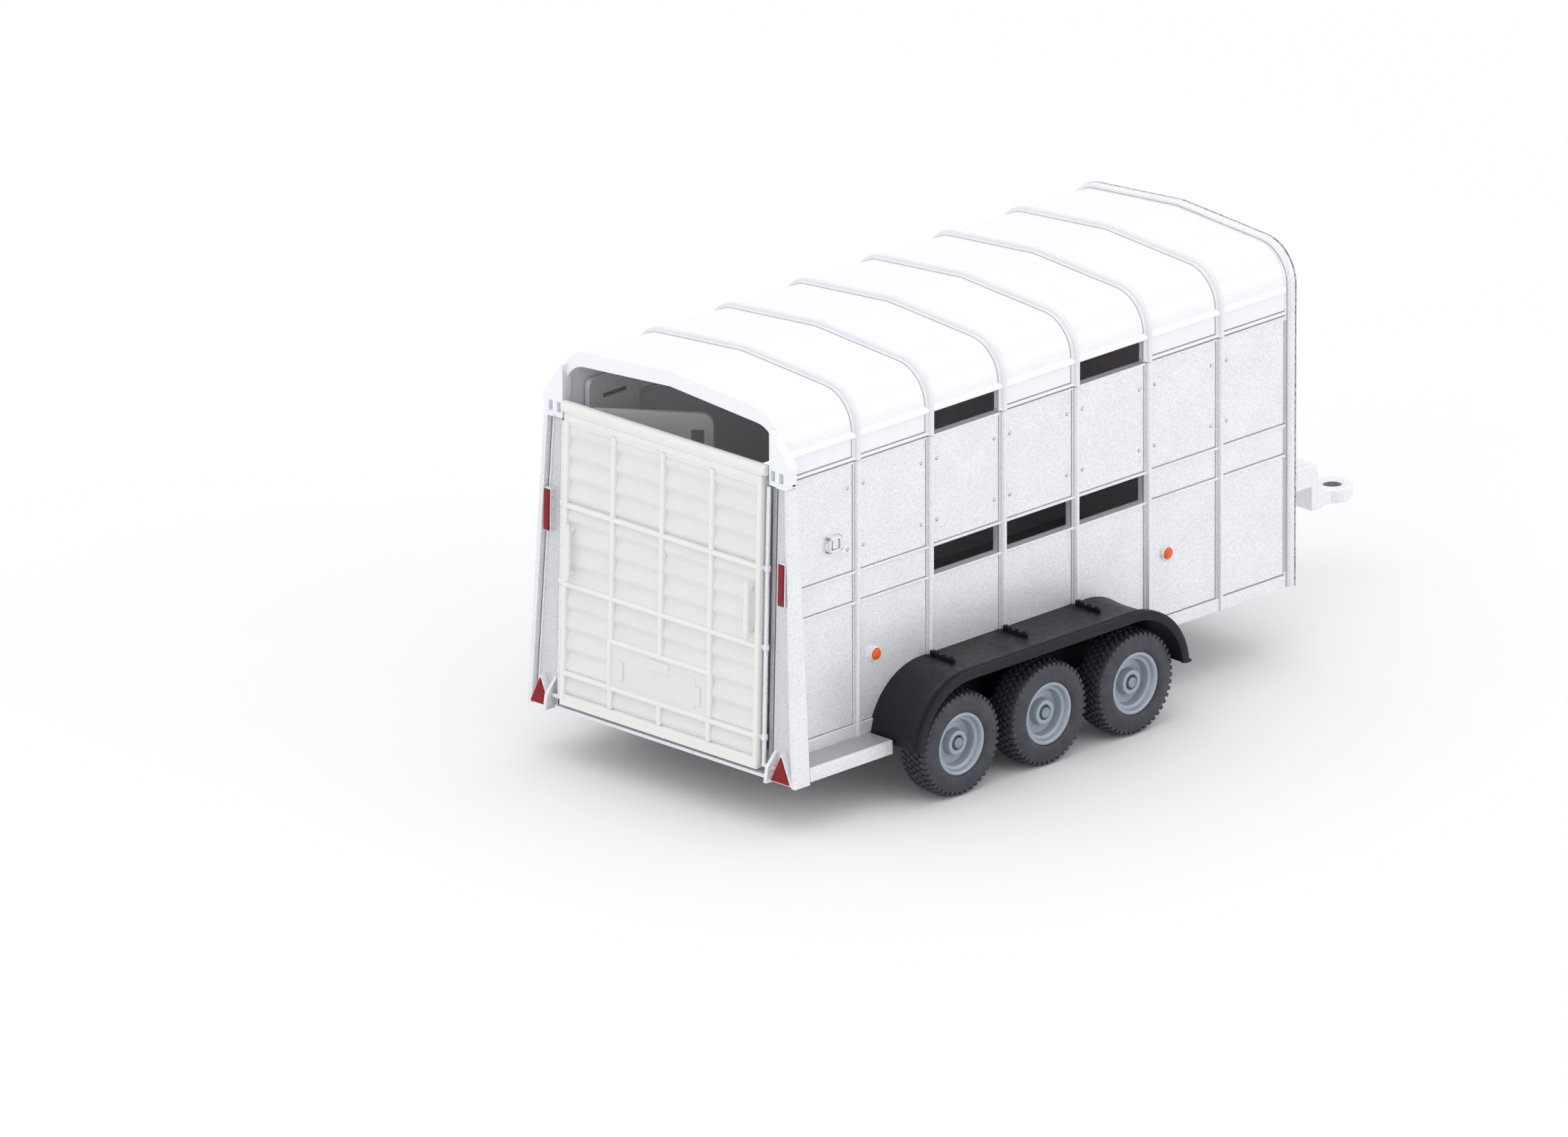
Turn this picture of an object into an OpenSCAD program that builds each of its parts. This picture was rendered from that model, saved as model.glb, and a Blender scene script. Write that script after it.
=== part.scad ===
// Tri-axle livestock trailer, a 1:32 scale model.
// Lengths are millimetres. X runs forward, Y to the left, Z up, and the ground is z = 0.
// The sections below measure X from the rear frame; place() puts the origin under the
// middle of the whole model.

/* [Body] */
// Length from the rear frame to the outside of the front wall
body_length = 133.4; // [110:0.1:165]
// Width over the side panels
body_width = 56; // [46:0.5:68]
// Height of the side panels
side_height = 53.1; // [44:0.1:64]
// Height of the body's lower edge above the ground
body_base = 12.5; // [12.2:0.1:15]
// Thickness of the side and front panels
panel_wall = 1.6; // [1.3:0.1:2]
// Thickness of the floor
floor_wall = 1.2; // [0.9:0.1:2]

/* [Ribs and rails] */
// Width of a wall rib
rib_width = 1.4; // [1:0.1:2]
// How far a rib stands out of its panel
rib_relief = 0.6; // [0.5:0.05:0.9]
// Height of a thin rail on the side panels
rail_width = 0.5; // [0.4:0.05:0.8]
// How far a rail stands out of its panel
rail_relief = 0.35; // [0.2:0.05:0.4]
// Height of the skirt rail along the lower edge
skirt_height = 2.5; // [1.8:0.1:3.5]
// Height of the lower mid rail above the lower edge
band_low = 25.9; // [22:0.1:31]
// Distance between the two mid rails
band_height = 5.9; // [5.5:0.1:7]

/* [Roof] */
// Radius of the roof's shoulders
shoulder_radius = 7.3; // [6:0.1:9]
// Height of the shoulders' centre above the side panels
shoulder_rise = 5.7; // [5.2:0.1:7]
// Slope of the roof towards its ridge, in degrees
roof_slope = 4.4; // [2:0.1:8]
// Thickness of the roof skin
roof_wall = 1.2; // [0.9:0.1:1.4]
// Width of a roof hoop
hoop_width = 1.7; // [1.4:0.1:2.4]
// How far a hoop stands out of the roof
hoop_relief = 0.7; // [0.5:0.05:1]
// Height of the upright band below the drip rail
roof_band = 4.5; // [4:0.1:5]
// How far the rear arch closes in on the opening
arch_depth = 2.4; // [1.8:0.1:3]

/* [Rear end] */
// Forward lean of the tailgate and the rear posts, in degrees
rear_lean = 1.7; // [0:0.1:3]
// Height of a tailgate rail above the hinge: lower, middle and upper
tail_low = 5.3; // [4:0.1:8]
tail_mid = 22.4; // [20:0.1:26]
tail_high = 37.5; // [33:0.1:41]
// Spacing of the tailgate's upright bars
tail_bar_pitch = 12.6; // [10:0.1:14]
// Radius of the tailgate's side rods and hinge pins
rod_radius = 0.42; // [0.35:0.01:0.5]
// Radial clearance of every hinge pin and axle
running_gap = 0.05; // [0.03:0.01:0.08]
// Radius of the tailgate's round top rail
top_rail_radius = 1.1; // [0.9:0.1:1.4]
// Opening angle of the left inner gate as it stands, in degrees
gate_angle = 37; // [0:1:60]

/* [Running gear] */
// Radius of a tyre
tyre_radius = 10; // [9:0.1:10.5]
// Width of a tyre
tyre_width = 7; // [5.5:0.1:8]
// Radius of a wheel rim
rim_radius = 5.95; // [5:0.05:6.8]
// Distance between neighbouring axles
axle_pitch = 22.8; // [22:0.1:26]
// Radius of an axle
axle_radius = 1; // [0.8:0.05:1.2]
// Distance from a side panel to the inner side of a tyre
tyre_offset = 5.4; // [4:0.1:8]
// Thickness of the mudguards
guard_wall = 0.9; // [0.7:0.05:1.2]
// Outer radius of the mudguards' round ends
guard_radius = 13.8; // [13.4:0.1:15]

/* [Hitch] */
// Distance from the front wall to the middle of the towing eye
eye_reach = 40.9; // [36:0.1:50]
// Radius of the hole in the towing eye
eye_bore = 1.78; // [1.4:0.02:2.4]
// Outer radius of the towing eye
eye_radius = 3.9; // [3.4:0.1:5]
// Thickness of the towing eye
eye_height = 2.8; // [2:0.1:3.5]

/* [Hidden] */
$fn = 48;

RIGHT = -1;
LEFT = 1;
BAYS = 7;
REAR = -1;
MIDDLE = 0;
FRONT = 1;
// Bays, counted from the rear, with a slot in the side wall or a window in the roof band
SLOT_BAYS = [3, 4, 5];
WINDOW_BAYS = [3, 5];
eps = 0.01;
far = 300;

half_width = body_width / 2;
half_inside = half_width - panel_wall;
bay_pitch = body_length / BAYS;
side_top = body_base + side_height;
floor_top = body_base + floor_wall;
band_z = body_base + band_low;
// The rear arch and posts end, and the side walls begin, at this X
wall_rear = 0.8;
wall_front = body_length - panel_wall;
arch_rear = -0.3;
ear_rear = -1.6;

// Tailgate hinge, and depths measured from it in the leaning frame
hinge_x = -2.9;
hinge_z = body_base - 0.3;
gate_half = half_width - 2.7;
sheet_rear = -0.1;
sheet_front = 1;
bar_relief = 0.8;
bar_width = 1.3;
tail_foot = -0.9;
tail_top = side_top + 1.6 - hinge_z;
tail_rail_height = 1.1;
top_rail_x = -0.35;
plate_top = 14.8;
plate_half = tail_bar_pitch + 0.8;
post_rear = 0.9;
post_inner = half_width - 0.9;
post_foot = body_base - 3.2;
post_out_top = half_width + 3.4;
post_out_foot = half_width + 6.4;
flange_width = 1.1;
flange_relief = 1.1;
groove_width = 1.5;
groove_depth = 0.7;
rod_y = half_width - 1.8;
bracket_inner = half_width - 0.1;
bracket_wall = 0.8;
bracket_tip = [-1.9, -2.6];

// Inner gates
gate_hinge = [2.2, half_width - 3.4];
gate_length = gate_hinge.y - 0.7;
gate_wall = 1.2;
gate_top = side_top + 1.6;
stile_radius = 0.8;
lug_height = 1.1;
lug_radius = 1;
lug_low = floor_top + 2.2;
lug_high = side_top - 1.2;
lug_gap = 0.2;

// Wheels and mudguards
wheel_z = tyre_radius;
wheel_middle = bay_pitch * 3;
tyre_inner = half_width + tyre_offset;
tyre_outer = tyre_inner + tyre_width;
axle_half = tyre_outer - 1.1;
guard_outer = tyre_outer + 0.7;
guard_arch = guard_radius - guard_wall;
guard_rear_x = wheel_middle - axle_pitch + 1.55;
guard_front_x = wheel_middle + axle_pitch - 0.75;
guard_base = wheel_z + 1.4;
guard_top = wheel_z + guard_radius;
rail_inner = half_width - 8;
rail_thick = 4;
step_width = 6.5;
step_height = 2.7;
step_top = body_base + 0.05;
step_front = guard_rear_x - guard_radius;

// Hitch
eye_x = body_length + eye_reach;
eye_z = body_base + 0.2;
drawbar_low = body_base + 5.2;
drawbar_high = body_base + 9.6;
head_x = eye_x - 13.5;
head_half = 3.4;

// The hinge brackets' tips reach furthest back
rear_reach = hinge_x + bracket_tip.x * cos(rear_lean) + bracket_tip.y * sin(rear_lean);
front_reach = eye_x + eye_radius;
origin_shift = -(rear_reach + front_reach) / 2;

function rib_x(k) = k * bay_pitch;
function axle_x(i) = wheel_middle + i * axle_pitch;

// Half of the body's cross-section outline, grown outwards by g: shoulder arc, then ridge
function shoulder(g, side) = [
    for (i = [0 : 12])
        let (a = i * (90 - roof_slope) / 12, r = shoulder_radius + g)
        [side * (half_width - shoulder_radius + r * cos(a)), side_top + shoulder_rise + r * sin(a)]
];
function ridge_z(g) = let (
        r = shoulder_radius + g,
        run = half_width - shoulder_radius + r * sin(roof_slope)
    ) side_top + shoulder_rise + r * cos(roof_slope) + run * tan(roof_slope);
function reversed(v) = [for (i = [len(v) - 1 : -1 : 0]) v[i]];
function section(g, base) = concat(
    [[half_width + g, base]], shoulder(g, 1), [[0, ridge_z(g)]],
    reversed(shoulder(g, -1)), [[-(half_width + g), base]]
);

module place() translate([origin_shift, 0, 0]) children();

// The tilted frame of the rear end: its origin is on the tailgate's hinge axis
module lean() translate([hinge_x, 0, hinge_z]) rotate([0, rear_lean, 0]) children();

// Box between two corners
module span(low, high) translate(low) cube(high - low);

// Box with its Y range on one side of the body
module side_span(side, low, high)
    if (side > 0) span(low, high);
    else span([low.x, -high.y, low.z], [high.x, -low.y, high.z]);

// Outline in Y and Z, extruded along X
module along_x(x0, x1) translate([x0, 0, 0]) rotate([90, 0, 90]) linear_extrude(x1 - x0) children();

// Outline in X and Z, extruded along Y on one side of the body
module along_y(side, y0, y1)
    translate([0, side > 0 ? y1 : -y0, 0]) rotate([90, 0, 0]) linear_extrude(y1 - y0) children();

module bar_y(radius, y0, y1) translate([0, y0, 0]) rotate([-90, 0, 0]) cylinder(r = radius, h = y1 - y0);

// ---------- Body ----------

module floor_plate() color("dimgray")
    span([wall_rear, -half_inside, body_base], [wall_front, half_inside, floor_top]);

module axle_rail(side) color("gray")
    difference() {
        side_span(side, [axle_x(REAR) - 5, rail_inner, wheel_z - 2.4],
            [axle_x(FRONT) + 5, rail_inner + rail_thick, body_base]);
        for (i = [REAR, MIDDLE, FRONT])
            translate([axle_x(i), 0, wheel_z]) bar_y(axle_radius + running_gap, -far, far);
    }

module rear_sill() color("silver") {
    lip_top = body_base - 1.9;
    span([hinge_x - 0.5, -post_inner, lip_top - 0.7], [wall_rear, post_inner, lip_top]);
    span([wall_rear - 0.9, -half_inside, lip_top - eps], [wall_rear, half_inside, floor_top]);
}

module side_wall(side) color("silver")
    difference() {
        union() {
            side_span(side, [wall_rear, half_inside, body_base], [wall_front, half_width, side_top]);
            for (k = [1 : BAYS - 1])
                side_span(side, [rib_x(k) - rib_width / 2, half_width - eps, body_base],
                    [rib_x(k) + rib_width / 2, half_width + rib_relief, side_top]);
            side_span(side, [wall_rear, half_width - eps, body_base],
                [wall_front, half_width + rail_relief, body_base + skirt_height]);
            for (z = [band_z, band_z + band_height])
                side_span(side, [wall_rear, half_width - eps, z - rail_width / 2],
                    [wall_front, half_width + rail_relief, z + rail_width / 2]);
        }
        for (b = SLOT_BAYS)
            side_span(side, [rib_x(b - 1) + rib_width / 2, half_inside - 1, band_z + rail_width / 2],
                [rib_x(b) - rib_width / 2, half_width + 1, band_z + band_height - rail_width / 2]);
    }

module front_wall() color("silver") {
    along_x(wall_front, body_length) polygon(section(0, body_base));
    for (y = [-14, 0, 14])
        span([body_length - eps, y - rib_width / 2, drawbar_high + 0.5],
            [body_length + rib_relief, y + rib_width / 2, side_top]);
    span([body_length - eps, -half_width + 2, side_top],
        [body_length + rib_relief, half_width - 2, side_top + rib_width]);
}

module front_hoop() color("silver")
    along_x(body_length - 0.9, body_length + 0.8)
        difference() {
            polygon(section(hoop_relief, body_base));
            polygon(section(0, body_base - 1));
        }

module roof_shell() color("white")
    difference() {
        union() {
            along_x(wall_rear, wall_front) difference() {
                polygon(section(0, side_top));
                polygon(section(-roof_wall, side_top - 1));
            }
            for (k = [1 : BAYS - 1])
                along_x(rib_x(k) - hoop_width / 2, rib_x(k) + hoop_width / 2) difference() {
                    polygon(section(hoop_relief, side_top));
                    polygon(section(-eps, side_top - 1));
                }
            for (side = [RIGHT, LEFT], z = [side_top, side_top + roof_band])
                side_span(side, [wall_rear, half_width - eps, z],
                    [wall_front, half_width + rail_relief, z + rail_width]);
        }
        for (b = WINDOW_BAYS)
            span([rib_x(b - 1) + hoop_width / 2, -far, side_top + rail_width],
                [rib_x(b) - hoop_width / 2, far, side_top + roof_band]);
    }

// Ear of the arch, from its inner edge outwards
module ear_outline(inner)
    polygon([
        [inner, side_top], [half_width + 3, side_top], [half_width + 3.6, side_top + 4.1],
        [half_width - 1.1, side_top + 10.3], [inner, side_top + 10.3]
    ]);

module rear_arch() color("white")
    difference() {
        union() {
            along_x(arch_rear, wall_rear) polygon(section(hoop_relief, side_top));
            for (side = [0, 1])
                along_x(ear_rear, wall_rear) mirror([side, 0]) ear_outline(half_width - 1.6);
        }
        along_x(-far, far) polygon(section(-arch_depth, side_top - 1));
        for (side = [RIGHT, LEFT], y = [half_width - 0.6, half_width + 1.5])
            along_x(-far, far) translate([side * y, side_top + 1.9]) square([1, 1.9], center = true);
    }

// X of the post's rear face at height z
function post_x(z) = hinge_x + post_rear + (z - hinge_z) * tan(rear_lean);

// Side view of a slab of the post whose rear face stands out by d
module post_profile(d)
    polygon([
        [post_x(post_foot) - d, post_foot], [wall_rear, post_foot],
        [wall_rear, side_top], [post_x(side_top) - d, side_top]
    ]);

module post_outline(inset)
    polygon([
        [post_inner + groove_width, post_foot], [post_out_foot - inset, post_foot],
        [post_out_top - inset, side_top], [post_inner + groove_width, side_top]
    ]);

module rear_post(side) color("silver")
    scale([1, side, 1]) {
        along_y(LEFT, post_inner, post_inner + groove_width) post_profile(-groove_depth);
        intersection() {
            along_y(LEFT, post_inner, post_out_foot) post_profile(0);
            along_x(-far, far) post_outline(0);
        }
        intersection() {
            along_y(LEFT, post_inner, post_out_foot) post_profile(flange_relief);
            along_x(-far, far) difference() {
                post_outline(0);
                post_outline(flange_width);
            }
        }
    }

// Ear that carries the tailgate's hinge pin
module hinge_bracket(side) color("silver")
    lean() difference() {
        along_y(side, bracket_inner, bracket_inner + bracket_wall)
            polygon([[post_rear, 3.2], [-1.5, 0.4], bracket_tip, [post_rear, bracket_tip.y]]);
        bar_y(rod_radius + running_gap, -far, far);
    }

// Lugs on the side walls that hold the inner gates' pins
module gate_lugs() color("silver")
    for (side = [RIGHT, LEFT], z = [lug_low, lug_high])
        translate([gate_hinge.x, side * gate_hinge.y, z]) difference() {
            union() {
                cylinder(r = lug_radius, h = lug_height);
                translate([-lug_radius, side > 0 ? 0 : gate_hinge.y - half_inside, 0])
                    cube([lug_radius * 2, half_inside - gate_hinge.y, lug_height]);
            }
            translate([0, 0, -1]) cylinder(r = rod_radius + running_gap, h = lug_height + 2);
        }

// Upright tabs inside the walls that locate the roof
module roof_tabs() color("silver")
    for (side = [RIGHT, LEFT])
        along_y(side, half_inside - 1.2, half_inside) difference() {
            union() {
                translate([4.1, side_top - 3.6]) square([13.1, 8.5]);
                translate([5.4, side_top - 3.6]) square([11.8, 9.8]);
                translate([5.4, side_top + 4.9]) circle(r = 1.3);
            }
            translate([7.8, side_top + 2]) square([6.6, 0.8]);
        }

module rivet(side, x, z)
    translate([x, side > 0 ? half_width : -half_width - 0.15, z]) bar_y(0.35, 0, 0.15);

module panel_rivets() color("silver")
    for (side = [RIGHT, LEFT], z = [side_top - 4.8, side_top - 16.6]) {
        for (k = [1 : BAYS - 1], d = [-2.05, 2.05]) rivet(side, rib_x(k) + d, z);
        rivet(side, rib_x(BAYS) - 3.2, z);
    }

// Small socket cast on the rearmost panel of the right wall
module side_socket() color("silver")
    difference() {
        side_span(RIGHT, [bay_pitch * 0.6, half_width, side_top - 16], [bay_pitch * 0.6 + 3.4, half_width + 1, side_top - 13]);
        side_span(RIGHT, [bay_pitch * 0.6 + 0.8, half_width + 0.4, side_top - 15.2],
            [bay_pitch * 0.6 + 2.6, half_width + 2, side_top - 13.8]);
    }

// ---------- Mudguards and steps ----------

// Side view of the space under a mudguard of the given radius
module guard_arch_outline(r) {
    translate([guard_rear_x, wheel_z]) circle(r = r, $fn = 96);
    translate([guard_front_x, wheel_z]) circle(r = r, $fn = 96);
    translate([guard_rear_x, wheel_z]) square([guard_front_x - guard_rear_x, r]);
}

module guard_strip(side, y0, y1, r_out, r_in)
    along_y(side, y0, y1) difference() {
        guard_arch_outline(r_out);
        guard_arch_outline(r_in);
        translate([-far, guard_base - far]) square([2 * far, far]);
        translate([guard_rear_x - eps, -far]) square([guard_front_x - guard_rear_x + 2 * eps, far + wheel_z]);
    }

module mudguard(side) color([0.09, 0.09, 0.1])
    difference() {
        union() {
            guard_strip(side, half_width, guard_outer, guard_radius, guard_arch);
            guard_strip(side, guard_outer - 0.7, guard_outer, guard_radius + 0.35, guard_arch - 0.6);
            guard_strip(side, guard_outer - 1.9, guard_outer - 1.3, guard_radius + 0.3, guard_arch);
            side_span(side, [guard_front_x + guard_arch, half_width + 2, guard_base - 0.4],
                [guard_front_x + guard_radius + 0.8, guard_outer, guard_base + 0.2]);
        }
        for (k = [1 : BAYS - 1])
            side_span(side, [rib_x(k) - rib_width / 2 - 0.05, half_width - 1, guard_base - 1],
                [rib_x(k) + rib_width / 2 + 0.05, half_width + rib_relief + 0.05, guard_top + 1]);
        side_span(side, [-far, half_width - 1, body_base - 2],
            [far, half_width + rail_relief + 0.05, body_base + skirt_height + 0.05]);
    }

module guard_ridges(side) color([0.09, 0.09, 0.1])
    for (k = [2, 3, 4]) {
        root = half_width + rib_relief + 0.1;
        side_span(side, [rib_x(k) - 0.4, root, guard_top], [rib_x(k) + 0.4, root + 5.8, guard_top + 0.6]);
        for (d = [1.2, 3.1, 5])
            translate([rib_x(k), side * (root + d), guard_top]) cylinder(r = 0.5, h = 1);
    }

module step(side) color("lightgray")
    side_span(side, [wall_rear, half_width + rail_relief, step_top - step_height],
        [step_front, half_width + step_width, step_top]);

// ---------- Lights ----------

module tail_light_housings() color("silver")
    for (side = [RIGHT, LEFT])
        lean() side_span(side, [post_rear - 1.2, half_width + 1.1, 31], [post_rear, half_width + 2.9, 39.4]);

module tail_light_lenses() color("red")
    for (side = [RIGHT, LEFT])
        lean() side_span(side, [post_rear - 1.5, half_width + 1.35, 31.4], [post_rear - 1.2, half_width + 2.65, 39]);

module triangle(inset)
    polygon([[-2.1 + 1.7 * inset, inset], [2.1 - 1.7 * inset, inset], [0, 4.6 - 2.4 * inset]]);

module triangle_slab(side, x0, x1, inset)
    lean() along_x(x0, x1) translate([side * (half_width + 2.9), -2.3]) triangle(inset);

module triangle_housings() color("white")
    for (side = [RIGHT, LEFT]) triangle_slab(side, post_rear - 1.3, post_rear, 0);

module triangle_reflectors() color("red")
    for (side = [RIGHT, LEFT]) triangle_slab(side, post_rear - 1.6, post_rear - 1.3, 0.3);

module side_marker(side, y0, y1, r)
    for (x = [rib_x(1) + 4.75, rib_x(5) + 5.1])
        translate([x, side > 0 ? y0 : -y1, body_base + 14.8]) bar_y(r, 0, y1 - y0);

module side_marker_bases() color("silver")
    for (side = [RIGHT, LEFT]) side_marker(side, half_width, half_width + 0.5, 1.2);

module side_marker_lenses() color("orange")
    for (side = [RIGHT, LEFT]) side_marker(side, half_width + 0.5, half_width + 0.9, 1.05);

// ---------- Hitch ----------

module drawbar(side) color("gainsboro")
    translate([0, 0, drawbar_low]) linear_extrude(drawbar_high - drawbar_low)
        polygon([
            [body_length, side * 16.5], [head_x, side * head_half],
            [head_x, side * 0.5], [body_length, side * 13.6]
        ]);

module coupling_head() color("gainsboro")
    difference() {
        union() {
            along_y(LEFT, -head_half, head_half)
                polygon([
                    [head_x, drawbar_low], [head_x + 4.4, drawbar_low], [head_x + 4.4, eye_z + 0.4],
                    [eye_x - 2.6, eye_z], [eye_x - 2.6, eye_z + eye_height],
                    [head_x + 7.8, eye_z + eye_height + 2], [head_x + 5.6, drawbar_high],
                    [head_x, drawbar_high]
                ]);
            translate([eye_x, 0, eye_z]) cylinder(r = eye_radius, h = eye_height);
        }
        translate([eye_x, 0, eye_z - 1]) cylinder(r = eye_bore, h = eye_height + 2);
    }

// ---------- Tailgate ----------

module tail_bar(y, z0, z1)
    span([sheet_rear - bar_relief, y - bar_width / 2, z0], [sheet_rear + eps, y + bar_width / 2, z1]);

module tail_rail(z, height)
    span([sheet_rear - bar_relief, -gate_half, z - height / 2], [sheet_rear + eps, gate_half, z + height / 2]);

module tailgate_frame() color("ivory")
    lean() {
        span([sheet_rear, -gate_half, tail_foot], [sheet_front, gate_half, tail_top]);
        for (y = [-gate_half + bar_width / 2, gate_half - bar_width / 2]) tail_bar(y, tail_foot, tail_top);
        for (i = [-1, 0, 1]) {
            tail_bar(i * tail_bar_pitch, tail_foot, tail_low);
            tail_bar(i * tail_bar_pitch, plate_top, tail_top);
        }
        for (z = [tail_low, tail_mid, tail_high]) tail_rail(z, tail_rail_height);
        tail_rail(tail_top - 0.7, 1.4);
        tail_rail(tail_foot + 0.6, 1.2);
        for (z = [2.2 : 4.3 : tail_top - 2])
            span([sheet_rear - 0.3, -gate_half, z - 0.8], [sheet_rear + eps, gate_half, z + 0.8]);
    }

module tailgate_top_rail() color("ivory")
    lean() {
        translate([top_rail_x, 0, tail_top + top_rail_radius])
            bar_y(top_rail_radius, -gate_half - 0.7, gate_half + 0.7);
        span([sheet_rear - bar_relief, -gate_half, tail_top],
            [sheet_front - 0.4, gate_half, tail_top + top_rail_radius]);
    }

module number_plate_holder() color("ivory")
    lean() {
        low = tail_low + tail_rail_height / 2;
        face = sheet_rear - 0.9;
        span([face, -plate_half, low], [sheet_rear - 0.3, plate_half, plate_top]);
        for (y = [-10.6, 9.2]) span([face - 0.3, y, low + 2], [face + eps, y + 1.4, low + 5.4]);
        span([face - 0.3, -2.6, plate_top - 2.9], [face + eps, 3, plate_top - 0.9]);
    }

module grab_handles() color("ivory")
    for (side = [RIGHT, LEFT])
        lean() translate([sheet_rear - 1.75, side * (gate_half - 2.4), 24.4]) {
            cylinder(r = 0.45, h = 10.8);
            for (z = [1.3, 9.5]) translate([0, 0, z]) rotate([0, 90, 0]) cylinder(r = 0.4, h = 1.45);
        }

// Side rods whose lower ends turn outwards as the tailgate's hinge pins
module tailgate_rods() color("silver")
    for (side = [RIGHT, LEFT])
        lean() scale([1, side, 1]) {
            translate([0, rod_y, 0]) cylinder(r = rod_radius, h = side_top - hinge_z - 0.3);
            translate([0, rod_y, 0]) sphere(r = rod_radius);
            bar_y(rod_radius, rod_y, bracket_inner + bracket_wall + 0.2);
            for (z = [tail_low, tail_mid, tail_high]) {
                translate([0, rod_y, z - 0.6]) cylinder(r = 0.6, h = 1.2);
                span([-0.35, gate_half, z - 0.4], [0.35, rod_y, z + 0.4]);
            }
        }

// ---------- Inner gates ----------

// One gate with its pin on the Z axis and its sheet along +X
module gate_leaf() {
    low = lug_low + lug_height + lug_gap;
    high = lug_high - lug_gap;
    translate([0, 0, low]) cylinder(r = stile_radius, h = high - low);
    translate([0, 0, lug_low + 0.1]) cylinder(r = rod_radius, h = lug_high + lug_height - lug_low - 0.2);
    translate([0, gate_wall / 2, 0]) rotate([90, 0, 0]) linear_extrude(gate_wall) difference() {
        union() {
            translate([0, low]) square([gate_length, high - low]);
            translate([1.7, low]) square([gate_length - 1.7 - 2.2, gate_top - low]);
            translate([1.7, low]) square([gate_length - 1.7, gate_top - 2.2 - low]);
            translate([gate_length - 2.2, gate_top - 2.2]) circle(r = 2.2);
        }
        translate([gate_length - 4.1, gate_top - 7.4]) square([2.3, 4.2]);
    }
}

module inner_gate(side, angle) color("ivory")
    translate([gate_hinge.x, side * gate_hinge.y, 0]) rotate([0, 0, -side * (90 - angle)]) gate_leaf();

// ---------- Wheels ----------

module axle(i) color("silver")
    translate([axle_x(i), 0, wheel_z]) bar_y(axle_radius, -axle_half, axle_half);

// Rim with its axis on Z, its outer face at z = 0 and its bore clear of the axle by 0.02
module rim_body()
    rotate_extrude($fn = 96)
        polygon([
            [axle_radius + 0.02, -4], [2.2, -4], [2.2, -3.3], [rim_radius - 1.6, -3.3],
            [rim_radius - 1.6, -5.6], [rim_radius - 0.5, -5.6], [rim_radius - 0.5, -0.6],
            [rim_radius, -0.6], [rim_radius, 0], [rim_radius - 0.6, 0], [rim_radius - 0.8, -0.9],
            [rim_radius - 1.4, -1.1], [rim_radius - 1.6, -2.3], [2.3, -2.3], [1.9, -1],
            [1.3, -1], [1.3, -1.3], [axle_radius + 0.02, -1.3]
        ]);

// Tyre with its axis on Z and its outer side at z = 0
module tyre_body()
    rotate_extrude($fn = 96)
        polygon([
            [rim_radius - 0.47, -5.9], [rim_radius + 0.9, -tyre_width],
            [tyre_radius - 1.4, -tyre_width + 0.05], [tyre_radius - 0.4, -tyre_width + 0.5],
            [tyre_radius, -tyre_width + 1.2], [tyre_radius, -1.2], [tyre_radius - 0.4, -0.5],
            [tyre_radius - 1.4, -0.05], [rim_radius + 0.9, 0], [rim_radius + 0.03, -0.35],
            [rim_radius + 0.03, -1], [rim_radius - 0.47, -1]
        ]);

module on_wheel(i, side, y)
    translate([axle_x(i), side * y, wheel_z]) rotate([side > 0 ? -90 : 90, 0, 0]) children();

module rim(i, side) color("lightsteelblue") on_wheel(i, side, tyre_outer - 0.4) rim_body();
module tyre(i, side) color([0.12, 0.12, 0.13]) on_wheel(i, side, tyre_outer) tyre_body();

place() floor_plate();  // floor
place() axle_rail(RIGHT);  // axle_rail_right
place() axle_rail(LEFT);  // axle_rail_left
place() rear_sill();
place() side_wall(RIGHT);  // side_wall_right
place() side_wall(LEFT);  // side_wall_left
place() front_wall();
place() front_hoop();
place() roof_shell();
place() rear_arch();
place() rear_post(RIGHT);  // rear_post_right
place() rear_post(LEFT);  // rear_post_left
place() hinge_bracket(RIGHT);  // hinge_bracket_right
place() hinge_bracket(LEFT);  // hinge_bracket_left
place() gate_lugs();
place() roof_tabs();
place() panel_rivets();
place() side_socket();
place() mudguard(RIGHT);  // mudguard_right
place() mudguard(LEFT);  // mudguard_left
place() guard_ridges(RIGHT);  // guard_ridges_right
place() guard_ridges(LEFT);  // guard_ridges_left
place() step(RIGHT);  // step_right
place() step(LEFT);  // step_left
place() tail_light_housings();
place() tail_light_lenses();
place() triangle_housings();
place() triangle_reflectors();
place() side_marker_bases();
place() side_marker_lenses();
place() drawbar(RIGHT);  // drawbar_right
place() drawbar(LEFT);  // drawbar_left
place() coupling_head();
place() tailgate_frame();
place() tailgate_top_rail();
place() number_plate_holder();
place() grab_handles();
place() tailgate_rods();
place() inner_gate(RIGHT, 0);  // inner_gate_right
place() inner_gate(LEFT, gate_angle);  // inner_gate_left
place() axle(REAR);  // axle_rear
place() axle(MIDDLE);  // axle_middle
place() axle(FRONT);  // axle_front
place() rim(REAR, RIGHT);  // rim_rear_right
place() rim(REAR, LEFT);  // rim_rear_left
place() rim(MIDDLE, RIGHT);  // rim_middle_right
place() rim(MIDDLE, LEFT);  // rim_middle_left
place() rim(FRONT, RIGHT);  // rim_front_right
place() rim(FRONT, LEFT);  // rim_front_left
place() tyre(REAR, RIGHT);  // tyre_rear_right
place() tyre(REAR, LEFT);  // tyre_rear_left
place() tyre(MIDDLE, RIGHT);  // tyre_middle_right
place() tyre(MIDDLE, LEFT);  // tyre_middle_left
place() tyre(FRONT, RIGHT);  // tyre_front_right
place() tyre(FRONT, LEFT);  // tyre_front_left
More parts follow.
